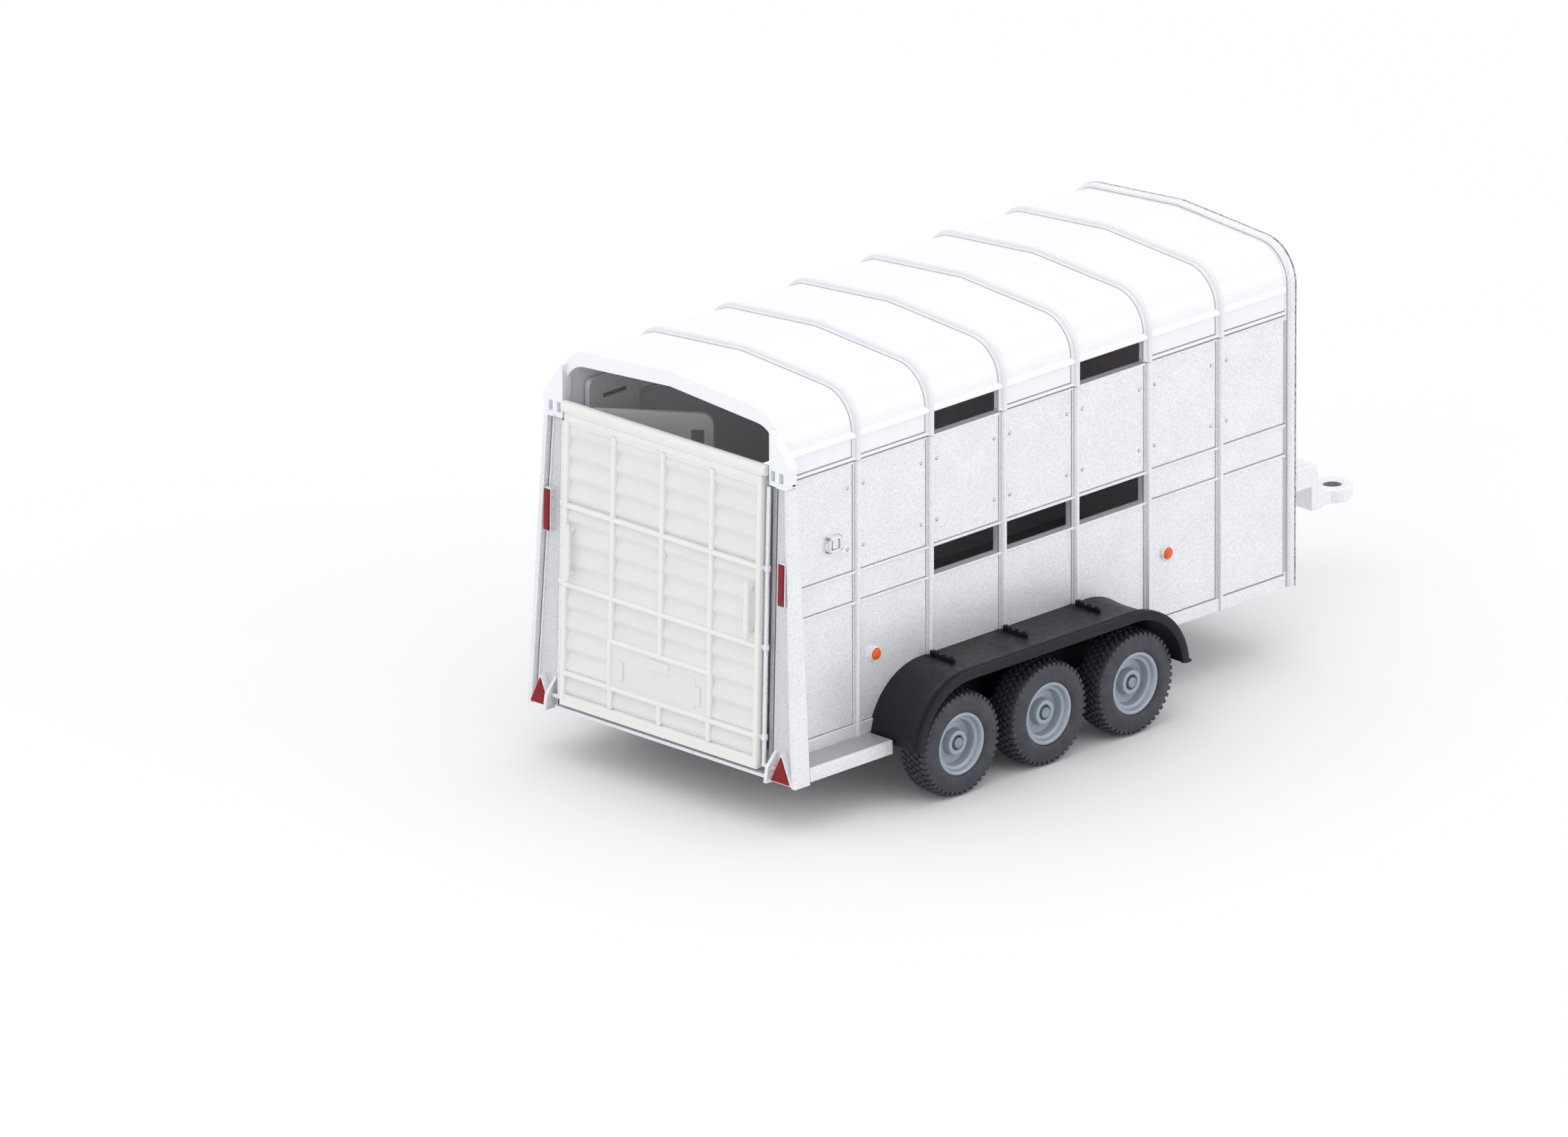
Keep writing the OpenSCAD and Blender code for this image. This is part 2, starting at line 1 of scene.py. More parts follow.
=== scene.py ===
"""Livestock trailer, a 1:32 scale model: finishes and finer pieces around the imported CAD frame.

Sizes are millimetres measured from the rear frame, as in the CAD source, with +X forward, +Y left
and +Z up. Shape.piece() turns them into metres and puts them in the row's frame.
"""

import math

import bmesh
import bpy
from mathutils import Matrix, Vector


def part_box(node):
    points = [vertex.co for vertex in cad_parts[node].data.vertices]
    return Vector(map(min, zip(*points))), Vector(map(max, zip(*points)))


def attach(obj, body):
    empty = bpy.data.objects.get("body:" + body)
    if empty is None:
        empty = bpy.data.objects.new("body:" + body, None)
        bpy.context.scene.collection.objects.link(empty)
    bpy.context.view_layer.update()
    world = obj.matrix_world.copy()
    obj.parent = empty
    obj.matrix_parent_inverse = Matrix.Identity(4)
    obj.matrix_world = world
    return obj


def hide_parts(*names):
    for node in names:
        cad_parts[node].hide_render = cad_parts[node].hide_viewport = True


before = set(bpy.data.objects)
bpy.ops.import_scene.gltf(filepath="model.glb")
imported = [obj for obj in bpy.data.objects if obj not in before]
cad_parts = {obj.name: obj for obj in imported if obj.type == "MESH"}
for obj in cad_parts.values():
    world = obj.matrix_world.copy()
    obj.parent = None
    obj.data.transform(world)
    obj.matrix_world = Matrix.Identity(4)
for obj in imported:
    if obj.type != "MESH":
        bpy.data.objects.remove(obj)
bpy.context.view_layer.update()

MM = 0.001
RIGHT, LEFT = -1, 1
SIDES = {"right": RIGHT, "left": LEFT}
AXLES = {"rear": -1, "middle": 0, "front": 1}


def box_mm(node):
    """Lowest and highest corner of a CAD node, in millimetres of the row's frame."""
    low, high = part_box(node)
    return low / MM, high / MM


# ---------- sizes taken from the frame ----------

floor_low, floor_high = box_mm("floor")
wall_high = box_mm("side_wall_left")[1]
tyre_low, tyre_high = box_mm("tyre_middle_left")
rear_tyre_low = box_mm("tyre_rear_left")[0]
rim_low, rim_high = box_mm("rim_middle_left")
axle_low, axle_high = box_mm("axle_middle")
front_low, front_high = box_mm("front_hoop")

WALL_REAR = 0.8
SHIFT = floor_low.x - WALL_REAR
PANEL_WALL = 1.6
BEAD_RELIEF = 0.8
HALF_INSIDE = floor_high.y
HALF_WIDTH = HALF_INSIDE + PANEL_WALL
BODY_BASE = floor_low.z
SIDE_TOP = wall_high.z
WALL_FRONT = floor_high.x - SHIFT
BODY_LENGTH = WALL_FRONT + PANEL_WALL
BAYS = 7
BAY = BODY_LENGTH / BAYS
SLOT_BAYS = (3, 4, 5)
WINDOW_BAYS = (3, 5)
RAIL = 0.5
RAIL_RELIEF = 0.4
BAND_LOW = BODY_BASE + 25.9
BAND_HIGH = BAND_LOW + 5.9
RIB_WIDTH = 1.4
FLANGE = 0.56
SKIRT = 2.5
# Width and height of the painted shadow lines.
SHADOW_WIDTH = 0.2
SHADOW_RELIEF = 0.05
ROOT = 0.2
HOOP_WIDTH = 1.7
HOOP_RELIEF = 0.8
ROOF_GAP = 0.28
SHOULDER_R = 7.3
SHOULDER_RISE = 5.7
SLOPE = math.radians(4.4)
ROOF_WALL = 1.2
ROOF_BAND = 4.5
ARCH_DEPTH = 2.4
ARCH_LEG = 1.15
ARCH_REAR = -0.3

LEAN = math.radians(1.7)
HINGE_X, HINGE_Z = -2.9, BODY_BASE - 0.3
GATE_HALF = HALF_WIDTH - 2.7
SHEET_REAR, SHEET_FRONT = -0.1, 1.0
TAIL_FOOT = -0.9
TAIL_TOP = SIDE_TOP + 1.6 - HINGE_Z
TAIL_RAILS = (5.3, 22.4, 37.5)
TAIL_BAR_PITCH = 12.6
TOP_RAIL_R = 1.1
PLATE_TOP = 14.8
PLATE_HALF = TAIL_BAR_PITCH + 0.8

WHEEL_Z = (tyre_low.z + tyre_high.z) / 2
TYRE_R = (tyre_high.z - tyre_low.z) / 2
TYRE_OUTER = tyre_high.y
TYRE_WIDTH = tyre_high.y - tyre_low.y
RIM_R = (rim_high.z - rim_low.z) / 2
RIM_OUTER = rim_high.y
WHEEL_MIDDLE = (tyre_low.x + tyre_high.x) / 2 - SHIFT
AXLE_PITCH = tyre_low.x - rear_tyre_low.x
AXLE_R = (axle_high.z - axle_low.z) / 2

GUARD_R = 13.8
GUARD_WALL = 0.9
GUARD_OUTER = TYRE_OUTER + 0.7
GUARD_REAR_X = WHEEL_MIDDLE - AXLE_PITCH + 1.55
GUARD_FRONT_X = WHEEL_MIDDLE + AXLE_PITCH - 0.75
GUARD_BASE = WHEEL_Z + 1.4

RIVET_ASIDE = 2.05
RIVET_HEIGHTS = (SIDE_TOP - 4.8, SIDE_TOP - 16.6)
POST_FACE = 0.9
POST_FOOT, POST_HEAD = BODY_BASE - 3.2 - HINGE_Z, SIDE_TOP - HINGE_Z
POST_EDGE = HALF_WIDTH + 6.4
POST_TAPER = 3.0
EYE_R, EYE_OUTER, EYE_TALL = 1.78, 3.9, 2.8
CLEAT_PITCH, CLEATS = 5.6, 9
SLAT_PITCH, SLATS = 4.1, 13
TREAD_BLOCKS = 46

# ---------- camera ----------

CAMERA_LENS = 634.92
CAMERA_AZIMUTH = math.radians(-45.333)
CAMERA_ELEVATION = math.radians(19.438)
CAMERA_ROLL = math.radians(-0.186)
CAMERA_DISTANCE = 5070.85
CAMERA_AIM = Vector((60, 0, 30))
CAMERA_OFFSET = (21.83, 2.293)


def make_camera():
    """A long lens looks at the rear right corner from above; its offset frames the trailer."""
    a, e, r = CAMERA_AZIMUTH, CAMERA_ELEVATION, CAMERA_ROLL
    back = Vector((math.sin(a) * math.cos(e), -math.cos(a) * math.cos(e), math.sin(e)))
    level = Vector((math.cos(a), math.sin(a), 0))
    rise = back.cross(level)
    across = math.cos(r) * level + math.sin(r) * rise
    up = -math.sin(r) * level + math.cos(r) * rise
    place = CAMERA_AIM + Vector((SHIFT, 0, 0)) + back * CAMERA_DISTANCE
    place -= across * CAMERA_OFFSET[0] + up * CAMERA_OFFSET[1]
    data = bpy.data.cameras.new("camera")
    data.sensor_width = 36
    data.lens = CAMERA_LENS
    data.clip_start, data.clip_end = 0.1, 60
    camera = bpy.data.objects.new("camera", data)
    bpy.context.scene.collection.objects.link(camera)
    turn = Matrix((across, up, back)).transposed().to_4x4()
    camera.matrix_world = Matrix.Translation(place * MM) @ turn
    bpy.context.scene.camera = camera


make_camera()

# ---------- finishes ----------


class Finish:
    """A material whose colour, gloss and grain come from noise on Object coordinates."""

    def __init__(self, name, roughness, metallic=0.0, coat=0.0, specular=0.5):
        self.material = bpy.data.materials.new(name)
        self.material.use_nodes = True
        self.nodes = self.material.node_tree.nodes
        self.links = self.material.node_tree.links
        self.shader = self.nodes["Principled BSDF"]
        for label, value in (("Roughness", roughness), ("Metallic", metallic), ("Coat Weight", coat),
                             ("Coat Roughness", 0.12), ("Specular IOR Level", specular)):
            self.shader.inputs[label].default_value = value
        self.place = self.nodes.new("ShaderNodeTexCoord").outputs["Object"]
        self.height = None

    def feed(self, socket, value):
        """Links a node's output to a socket, or sets a number, colour or vector on it."""
        if isinstance(value, bpy.types.NodeSocket):
            self.links.new(value, socket)
        elif isinstance(value, tuple) and socket.type == "RGBA":
            socket.default_value = (*value, 1)
        else:
            socket.default_value = value

    def node(self, kind, inputs, **settings):
        """A new node with these settings, and its inputs fed by name or number."""
        node = self.nodes.new(f"ShaderNode{kind}")
        for name, value in settings.items():
            setattr(node, name, value)
        for key, value in inputs.items():
            self.feed(node.inputs[key], value)
        return node.outputs

    def noise(self, size_mm, detail=2.0, stretch=(1, 1, 1)):
        """Noise with grains of about size_mm, from 0 to 1."""
        place = self.node("Mapping", {"Scale": stretch, "Vector": self.place})["Vector"]
        return self.node("TexNoise", {
            "Scale": 1 / (size_mm * MM), "Detail": detail, "Vector": place})["Fac"]

    def ramp(self, value, stops):
        """Colours at given values, linear between them."""
        node = self.nodes.new("ShaderNodeValToRGB")
        band = node.color_ramp
        while len(band.elements) < len(stops):
            band.elements.new(0.5)
        for element, (at, colour) in zip(band.elements, stops):
            element.position = at
            element.color = (*colour, 1)
        self.links.new(value, node.inputs["Fac"])
        return node.outputs["Color"]

    def blend(self, amount, first, second, mode="MIX"):
        return self.node("Mix", {0: amount, 6: first, 7: second}, data_type="RGBA", blend_type=mode)[2]

    def span(self, value, low, high, out_low=0.0, out_high=1.0):
        return self.node("MapRange", {
            "Value": value, "From Min": low, "From Max": high,
            "To Min": out_low, "To Max": out_high})["Result"]

    def math(self, kind, first, second=0.0):
        return self.node("Math", {0: first, 1: second}, operation=kind)[0]

    def axis(self, name):
        """One of the Object coordinates, in metres."""
        return self.node("SeparateXYZ", {0: self.place})[name]

    def paint(self, colour):
        self.links.new(colour, self.shader.inputs["Base Color"])

    def gloss(self, value, low, high):
        self.links.new(self.span(value, 0.3, 0.7, low, high), self.shader.inputs["Roughness"])

    def bump(self, value, depth_mm, strength=1.0):
        """Adds relief of about depth_mm to what is there already."""
        inputs = {"Strength": strength, "Distance": depth_mm * MM, "Height": value}
        if self.height is not None:
            inputs["Normal"] = self.height
        self.height = self.node("Bump", inputs)["Normal"]
        self.links.new(self.height, self.shader.inputs["Normal"])


def shades(colour, *factors):
    return [tuple(min(1.0, c * f) for c in colour) for f in factors]


# Painted shade: colour for the body's inner faces, standing for the shade inside the body; the silver
# there is the same paint.
INSIDE_SHADE_COLOUR = (0.78, 0.735, 0.765)


def silver_finish(name, colour, dark_inside=False):
    """Sprayed silver: fine metal flakes in a satin lacquer; if asked, the body's inner faces get a flat
    painted-shade colour.
    """
    f = Finish(name, 0.4, metallic=0.35, coat=0.15)
    dark, mid, light = shades(colour, 0.86, 1.0, 1.12)
    flakes = f.ramp(f.noise(0.21, 3.0), [(0.37, dark), (0.5, mid), (0.63, light)])
    cloud = f.ramp(f.noise(9.0, 2.0), [(0.3, (0.95, 0.95, 0.955)), (0.7, (1.0, 1.0, 1.0))])
    paint = f.blend(1.0, flakes, cloud, "MULTIPLY")
    # Painted shade: faces inside the side walls and behind the front edge take the inside shade colour.
    if dark_inside:
        between = f.math("LESS_THAN", f.math("ABSOLUTE", f.axis("Y")), (HALF_INSIDE + 0.05) * MM)
        behind = f.math("GREATER_THAN", (BODY_LENGTH + SHIFT - 0.4) * MM, f.axis("X"))
        paint = f.blend(f.math("MULTIPLY", between, behind), paint, INSIDE_SHADE_COLOUR)
    f.paint(paint)
    f.gloss(f.noise(0.3, 2.0), 0.34, 0.5)
    f.bump(f.noise(0.24, 2.0), 0.012, 0.5)
    return f.material


def worn_finish(name, colour, chip):
    """Silver edge rubbed through in places: dark chips between bright flakes."""
    f = Finish(name, 0.45, metallic=0.2)
    dark, light = shades(colour, 0.82, 1.08)
    flakes = f.ramp(f.noise(0.3, 3.0), [(0.36, dark), (0.62, light)])
    rubbed = f.span(f.noise(0.8, 5.0), 0.44, 0.6)
    f.paint(f.blend(rubbed, flakes, chip))
    f.gloss(f.noise(0.4, 2.0), 0.4, 0.6)
    f.bump(f.noise(0.3, 3.0), 0.03, 0.6)
    return f.material


def plastic_finish(name, colour, low, high, relief=0.006, coat=0.0, metallic=0.0, cloud=0.035,
                   specular=0.5):
    """Moulded plastic: faint clouds in the colour, and a fine grain."""
    f = Finish(name, low, coat=coat, metallic=metallic, specular=specular)
    dark, light = shades(colour, 1 - cloud, 1 + cloud)
    tint = f.ramp(f.noise(6.0, 3.0), [(0.3, dark), (0.7, light)])
    fine_dark, fine_light = shades((1, 1, 1), 1 - cloud, 1.0)
    fine = f.ramp(f.noise(0.4, 2.0), [(0.35, fine_dark), (0.65, fine_light)])
    f.paint(f.blend(1.0, tint, fine, "MULTIPLY"))
    f.gloss(f.noise(1.2, 3.0), low, high)
    f.bump(f.noise(0.35, 2.0), relief, 0.6)
    return f.material


def rubber_finish(name):
    """Tyre rubber: nearly black, with a little grey bloom on the sidewalls."""
    f = Finish(name, 0.6, specular=0.52)
    f.paint(f.ramp(f.noise(2.5, 4.0), [
        (0.3, (0.027, 0.027, 0.036)), (0.55, (0.038, 0.038, 0.05)), (0.8, (0.056, 0.056, 0.07))]))
    f.gloss(f.noise(0.9, 3.0), 0.44, 0.62)
    f.bump(f.noise(0.25, 3.0), 0.02, 0.6)
    return f.material


def lens_finish(name, colour):
    """Clear coloured lens over a bright backing, with faint moulded flutes."""
    f = Finish(name, 0.2, coat=0.08, specular=0.25)
    deep, bright = shades(colour, 0.75, 1.12)
    f.paint(f.ramp(f.noise(0.9, 2.0), [(0.3, deep), (0.7, bright)]))
    f.gloss(f.noise(0.7, 2.0), 0.12, 0.26)
    f.bump(f.noise(0.5, 1.0), 0.02, 0.5)
    return f.material


def turned_steel_finish(name):
    """Bright axle steel with turning marks round its length."""
    f = Finish(name, 0.3, metallic=0.5)
    marks = f.noise(0.5, 3.0, stretch=(0.2, 4.0, 0.2))
    f.paint(f.ramp(marks, [(0.3, (0.24, 0.26, 0.29)), (0.7, (0.40, 0.43, 0.46))]))
    f.gloss(marks, 0.26, 0.42)
    f.bump(marks, 0.01, 0.5)
    return f.material


FINISHES = {}


def dress(slot, make, *looks, **more):
    """Makes a finish and files it under the name that the pieces call it by."""
    FINISHES[slot] = make(f"{slot}_finish", *looks, **more)


SMOOTH = {"relief": 0.001}
MOULDED = {"relief": 0.002, "cloud": 0.015}
dress("silver_paint", silver_finish, (0.84, 0.845, 0.86))
# Painted shade on the inner faces of the side and front panels.
dress("panel_silver", silver_finish, (0.845, 0.85, 0.865), dark_inside=True)
# Painted shade: a darker copy of the silver for the posts' rear faces.
dress("post_silver", silver_finish, (0.66, 0.665, 0.68))
dress("pale_silver", silver_finish, (0.88, 0.885, 0.895))
dress("roof_white", plastic_finish, (0.87, 0.885, 0.915), 0.16, 0.24, coat=0.3, cloud=0.01, **SMOOTH)
# Painted shade: a greyer copy of the roof white for the hoops.
dress("hoop_white", plastic_finish, (0.79, 0.80, 0.82), 0.2, 0.3, coat=0.2, cloud=0.015, **SMOOTH)
dress("ivory_plastic", plastic_finish, (0.83, 0.82, 0.80), 0.38, 0.48, **MOULDED)
# Painted shade: a darker copy of the ivory for the tailgate's sheet and plate holder.
dress("ivory_sheet", plastic_finish, (0.77, 0.765, 0.75), 0.4, 0.5, **MOULDED)
dress("matte_black", plastic_finish, (0.0082, 0.0078, 0.0125), 0.4, 0.54, relief=0.012, specular=0.27)
# Painted shadow and shade: flat greys for thin strips laid where shade falls, in gaps, at the feet of ribs
# and hoops and round small parts.
dress("seam_grey", plastic_finish, (0.27, 0.275, 0.29), 0.5, 0.65, cloud=0.08)
dress("seam_light", plastic_finish, (0.48, 0.485, 0.50), 0.4, 0.55, cloud=0.06)
dress("seam_dark", plastic_finish, (0.10, 0.10, 0.11), 0.5, 0.65, cloud=0.1)
dress("step_tread", silver_finish, (0.40, 0.41, 0.43))
dress("worn_silver", worn_finish, (0.44, 0.445, 0.46), (0.13, 0.13, 0.135))
dress("tyre_rubber", rubber_finish)
dress("rim_grey", plastic_finish, (0.345, 0.39, 0.445), 0.28, 0.42, coat=0.15, metallic=0.3)
dress("axle_steel", turned_steel_finish)
dress("dark_grey_plastic", plastic_finish, (0.34, 0.325, 0.335), 0.5, 0.65, relief=0.012)
dress("red_lens", lens_finish, (0.27, 0.003, 0.012))
dress("orange_lens", lens_finish, (0.86, 0.12, 0.02))

# ---------- node trees that repeat a piece ----------


def new_tree(name, sockets):
    tree = bpy.data.node_groups.new(name, "GeometryNodeTree")
    for label, kind in sockets:
        tree.interface.new_socket(label, in_out="INPUT", socket_type=kind)
    tree.interface.new_socket("Geometry", in_out="OUTPUT", socket_type="NodeSocketGeometry")
    return tree, tree.nodes.new("NodeGroupInput"), tree.nodes.new("NodeGroupOutput")


def join_up(tree, *links):
    """Links (node, output) to (node, input)."""
    for node, output, other, socket in links:
        tree.links.new(node.outputs[output], other.inputs[socket])


def end_tree(tree, copies, entry, leave):
    """Every tree ends in real geometry that carries its material."""
    real = tree.nodes.new("GeometryNodeRealizeInstances")
    coat = tree.nodes.new("GeometryNodeSetMaterial")
    join_up(tree, (copies, "Instances", real, "Geometry"), (real, "Geometry", coat, "Geometry"),
            (entry, "Material", coat, "Material"), (coat, "Geometry", leave, "Geometry"))


def row_tree():
    """Copies of the piece in a straight row."""
    tree, entry, leave = new_tree("copies_in_a_row", (
        ("Piece", "NodeSocketGeometry"), ("Count", "NodeSocketInt"),
        ("Step", "NodeSocketVector"), ("Material", "NodeSocketMaterial")))
    line = tree.nodes.new("GeometryNodeMeshLine")
    line.mode = "OFFSET"
    copies = tree.nodes.new("GeometryNodeInstanceOnPoints")
    join_up(tree, (entry, "Count", line, "Count"), (entry, "Step", line, "Offset"),
            (line, "Mesh", copies, "Points"), (entry, "Piece", copies, "Instance"))
    end_tree(tree, copies, entry, leave)
    return tree


def ring_tree():
    """Copies of the piece round an axle, which is parallel to Y."""
    tree, entry, leave = new_tree("copies_round_an_axle", (
        ("Piece", "NodeSocketGeometry"), ("Count", "NodeSocketInt"), ("Centre", "NodeSocketVector"),
        ("Start Angle", "NodeSocketFloat"), ("Material", "NodeSocketMaterial")))
    line = tree.nodes.new("GeometryNodeMeshLine")
    line.mode = "OFFSET"
    line.inputs["Offset"].default_value = (0, 0, 0)
    index = tree.nodes.new("GeometryNodeInputIndex")
    share = tree.nodes.new("ShaderNodeMath")
    share.operation = "DIVIDE"
    turn = tree.nodes.new("ShaderNodeMath")
    turn.operation = "MULTIPLY_ADD"
    turn.inputs[1].default_value = 2 * math.pi
    about = tree.nodes.new("ShaderNodeCombineXYZ")
    copies = tree.nodes.new("GeometryNodeInstanceOnPoints")
    join_up(tree, (entry, "Count", line, "Count"), (entry, "Centre", line, "Start Location"),
            (index, "Index", share, 0), (entry, "Count", share, 1),
            (share, 0, turn, 0), (entry, "Start Angle", turn, 2), (turn, 0, about, "Y"),
            (line, "Mesh", copies, "Points"), (entry, "Piece", copies, "Instance"),
            (about, "Vector", copies, "Rotation"))
    end_tree(tree, copies, entry, leave)
    return tree


ROW = row_tree()
RING = ring_tree()


def settled(carrier):
    """The plain mesh that an object's modifiers make."""
    bpy.context.view_layer.update()
    graph = bpy.context.evaluated_depsgraph_get()
    return bpy.data.meshes.new_from_object(carrier.evaluated_get(graph))


def grown(mesh, tree, **inputs):
    """The mesh that a node tree makes of a mesh."""
    carrier = bpy.data.objects.new("carrier", mesh)
    bpy.context.scene.collection.objects.link(carrier)
    modifier = carrier.modifiers.new("grow", "NODES")
    modifier.node_group = tree
    sockets = {s.name: s.identifier for s in tree.interface.items_tree if s.in_out == "INPUT"}
    for label, value in inputs.items():
        modifier[sockets[label.replace("_", " ")]] = value
    made = settled(carrier)
    bpy.data.objects.remove(carrier)
    return made


# ---------- shapes ----------

ROUND_ANGLE = math.radians(34)
LEANING = Matrix.Translation((HINGE_X, 0, HINGE_Z)) @ Matrix.Rotation(LEAN, 4, "Y")


def rounded(bm, radius, segments=2, angle=40):
    """Rounds the edges that turn by more than angle degrees."""
    bmesh.ops.recalc_face_normals(bm, faces=bm.faces)
    turn = math.radians(angle)
    sharp = [e for e in bm.edges if len(e.link_faces) == 2 and e.calc_face_angle() > turn]
    if sharp:
        bmesh.ops.bevel(bm, geom=sharp, offset=radius, segments=segments, profile=0.5, affect="EDGES")


def circle(steps):
    """Angles once round, evenly spaced."""
    return [2 * math.pi * i / steps for i in range(steps)]


class Shape:
    """Collects closed parts, in millimetres, and turns them into one piece."""

    def __init__(self, turn=None):
        self.turn = turn or Matrix.Identity(4)
        self.points, self.faces = [], []

    def take(self, bm):
        bmesh.ops.recalc_face_normals(bm, faces=bm.faces)
        first = len(self.points)
        bm.verts.index_update()
        self.points += [self.turn @ v.co for v in bm.verts]
        self.faces += [[first + v.index for v in f.verts] for f in bm.faces]
        bm.free()
        return self

    def mirrored(self):
        """The mirror image, which turns a left piece into a right one."""
        right = Shape()
        right.points = [Vector((p.x, -p.y, p.z)) for p in self.points]
        right.faces = [face[::-1] for face in self.faces]
        return right

    def both(self):
        """Adds the mirror image on the right side."""
        return self.join(self.mirrored())

    def block(self, low, high, radius=0.15, segments=2):
        low, high = Vector(low), Vector(high)
        size = high - low
        bm = bmesh.new()
        bmesh.ops.create_cube(bm, size=1)
        for v in bm.verts:
            v.co = Vector(low[i] + (v.co[i] + 0.5) * size[i] for i in range(3))
        rounded(bm, min(radius, 0.46 * min(size)), segments)
        return self.take(bm)

    def strip(self, low, high):
        """A thin sharp-edged strip, such as a painted shadow line."""
        return self.block(low, high, 0.01, 1)

    def prism(self, outline, axis, start, end, radius=0.15, segments=2):
        """An outline in the two other axes, drawn out along axis from start to end."""
        bm = bmesh.new()
        place = "xyz".index(axis)
        base, top = ([bm.verts.new((*p[:place], t, *p[place:])) for p in outline] for t in (start, end))
        bm.faces.new(base)
        bm.faces.new(top[::-1])
        for i in range(len(base)):
            j = (i + 1) % len(base)
            bm.faces.new((base[j], base[i], top[i], top[j]))
        rounded(bm, radius, segments)
        return self.take(bm)

    def loft(self, rings, closed=False):
        """Skins a row of closed rings; the ends are capped unless the row closes on itself."""
        bm = bmesh.new()
        rows = [[bm.verts.new(p) for p in ring] for ring in rings]
        pairs = list(zip(rows, rows[1:])) + ([(rows[-1], rows[0])] if closed else [])
        for one, two in pairs:
            for i in range(len(one)):
                j = (i + 1) % len(one)
                bm.faces.new((one[i], one[j], two[j], two[i]))
        if not closed:
            bm.faces.new(rows[0][::-1])
            bm.faces.new(rows[-1])
        return self.take(bm)

    def turned(self, profile, x, z, steps=96):
        """A closed profile of (radius, y) turned about an axis parallel to Y."""
        return self.loft([[(x + r * math.cos(a), y, z + r * math.sin(a)) for r, y in profile]
                          for a in circle(steps)], closed=True)

    def domed(self, profile, x, z, steps):
        """A small capped dome on a side wall, from (radius, height over the wall)."""
        return self.loft([[(x + r * math.cos(a), HALF_WIDTH + y, z + r * math.sin(a))
                           for a in circle(steps)] for r, y in profile])

    def standing_ring(self, profile, x, steps):
        """A closed profile of (radius, z) turned about an upright line."""
        return self.loft([[(x + r * math.cos(a), r * math.sin(a), z) for r, z in profile]
                          for a in circle(steps)], closed=True)

    def along_outline(self, profile, heights):
        """Sweeps a closed profile of (x, growth) along the body's outline, from foot to foot."""
        lines = [section(g, heights) for _, g in profile]
        return self.loft([[(x, *line[i]) for (x, _), line in zip(profile, lines)]
                          for i in range(len(lines[0]))])

    def rod(self, start, end, radius, tip=0.12, steps=20):
        """A round bar whose two ends are rounded off."""
        start, end = Vector(start), Vector(end)
        along = (end - start).normalized()
        across = along.orthogonal().normalized()
        other = along.cross(across)
        length = (end - start).length
        near, far = tip * 0.3, length - tip * 0.3
        stations = [(0, radius - tip), (near, radius - near), (tip, radius),
                    (length - tip, radius), (far, radius - near), (length, radius - tip)]
        return self.loft([[start + along * t + r * (across * math.cos(a) + other * math.sin(a))
                           for a in circle(steps)] for t, r in stations])

    def shell(self, xs, outer, inner, gap=lambda i, j: False):
        """A wall between two outlines of (y, z), along the stations xs; gap(i, j) leaves an opening."""
        bm = bmesh.new()
        skins = [[[bm.verts.new((x, *p)) for p in line] for x in xs] for line in (outer, inner)]
        wide, tall = len(xs) - 1, len(outer) - 1

        def solid(i, j):
            return 0 <= i < wide and 0 <= j < tall and not gap(i, j)

        for i in range(wide):
            for j in range(tall):
                if not solid(i, j):
                    continue
                for s in skins:
                    bm.faces.new((s[i][j], s[i + 1][j], s[i + 1][j + 1], s[i][j + 1]))
                rims = (((i, j), (i + 1, j), (i, j - 1)), ((i, j + 1), (i + 1, j + 1), (i, j + 1)),
                        ((i, j), (i, j + 1), (i - 1, j)),
                        ((i + 1, j), (i + 1, j + 1), (i + 1, j)))
                for (a, b), (c, d), (ni, nj) in rims:
                    if not solid(ni, nj):
                        over, under = skins
                        bm.faces.new((over[a][b], over[c][d], under[c][d], under[a][b]))
        loose = [v for v in bm.verts if not v.link_faces]
        bmesh.ops.delete(bm, geom=loose, context="VERTS")
        rounded(bm, 0.12, 2, 50)
        return self.take(bm)

    def cad(self, node, radius=0.12, segments=2, angle=32):
        """A CAD node's own shape with its edges rounded."""
        bm = bmesh.new()
        bm.from_mesh(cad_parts[node].data)
        to_mm = Matrix.Translation((-SHIFT, 0, 0)) @ Matrix.Scale(1 / MM, 4)
        bmesh.ops.transform(bm, matrix=to_mm, verts=bm.verts)
        bmesh.ops.remove_doubles(bm, verts=bm.verts, dist=0.002)
        bmesh.ops.dissolve_limit(bm, angle_limit=math.radians(0.6), verts=bm.verts, edges=bm.edges)
        rounded(bm, radius, segments, angle)
        return self.take(bm)

    def copies(self, other, tree, material="silver_paint", shifted=True, **inputs):
        """Adds what a node tree makes of another shape."""
        made = grown(other.mesh("pattern", shifted), tree, Material=FINISHES[material], **inputs)
        first = len(self.points)
        self.points += [v.co / MM - Vector((SHIFT, 0, 0)) for v in made.vertices]
        self.faces += [[first + i for i in p.vertices] for p in made.polygons]
        return self

    def every_bay(self, other, material="silver_paint"):
        """Repeats a shape made for the first rib at all six of them."""
        return self.copies(other, ROW, material, Count=BAYS - 1, Step=(BAY * MM, 0, 0))

    def join(self, other):
        """Takes over another shape's parts."""
        first = len(self.points)
        self.points += other.points
        self.faces += [[first + i for i in face] for face in other.faces]
        return self

    def mesh(self, name, shifted=True):
        mesh = bpy.data.meshes.new(name)
        shift = Vector((SHIFT, 0, 0)) if shifted else Vector()
        mesh.from_pydata([tuple((Vector(p) + shift) * MM) for p in self.points], [], self.faces)
        mesh.validate()
        return mesh

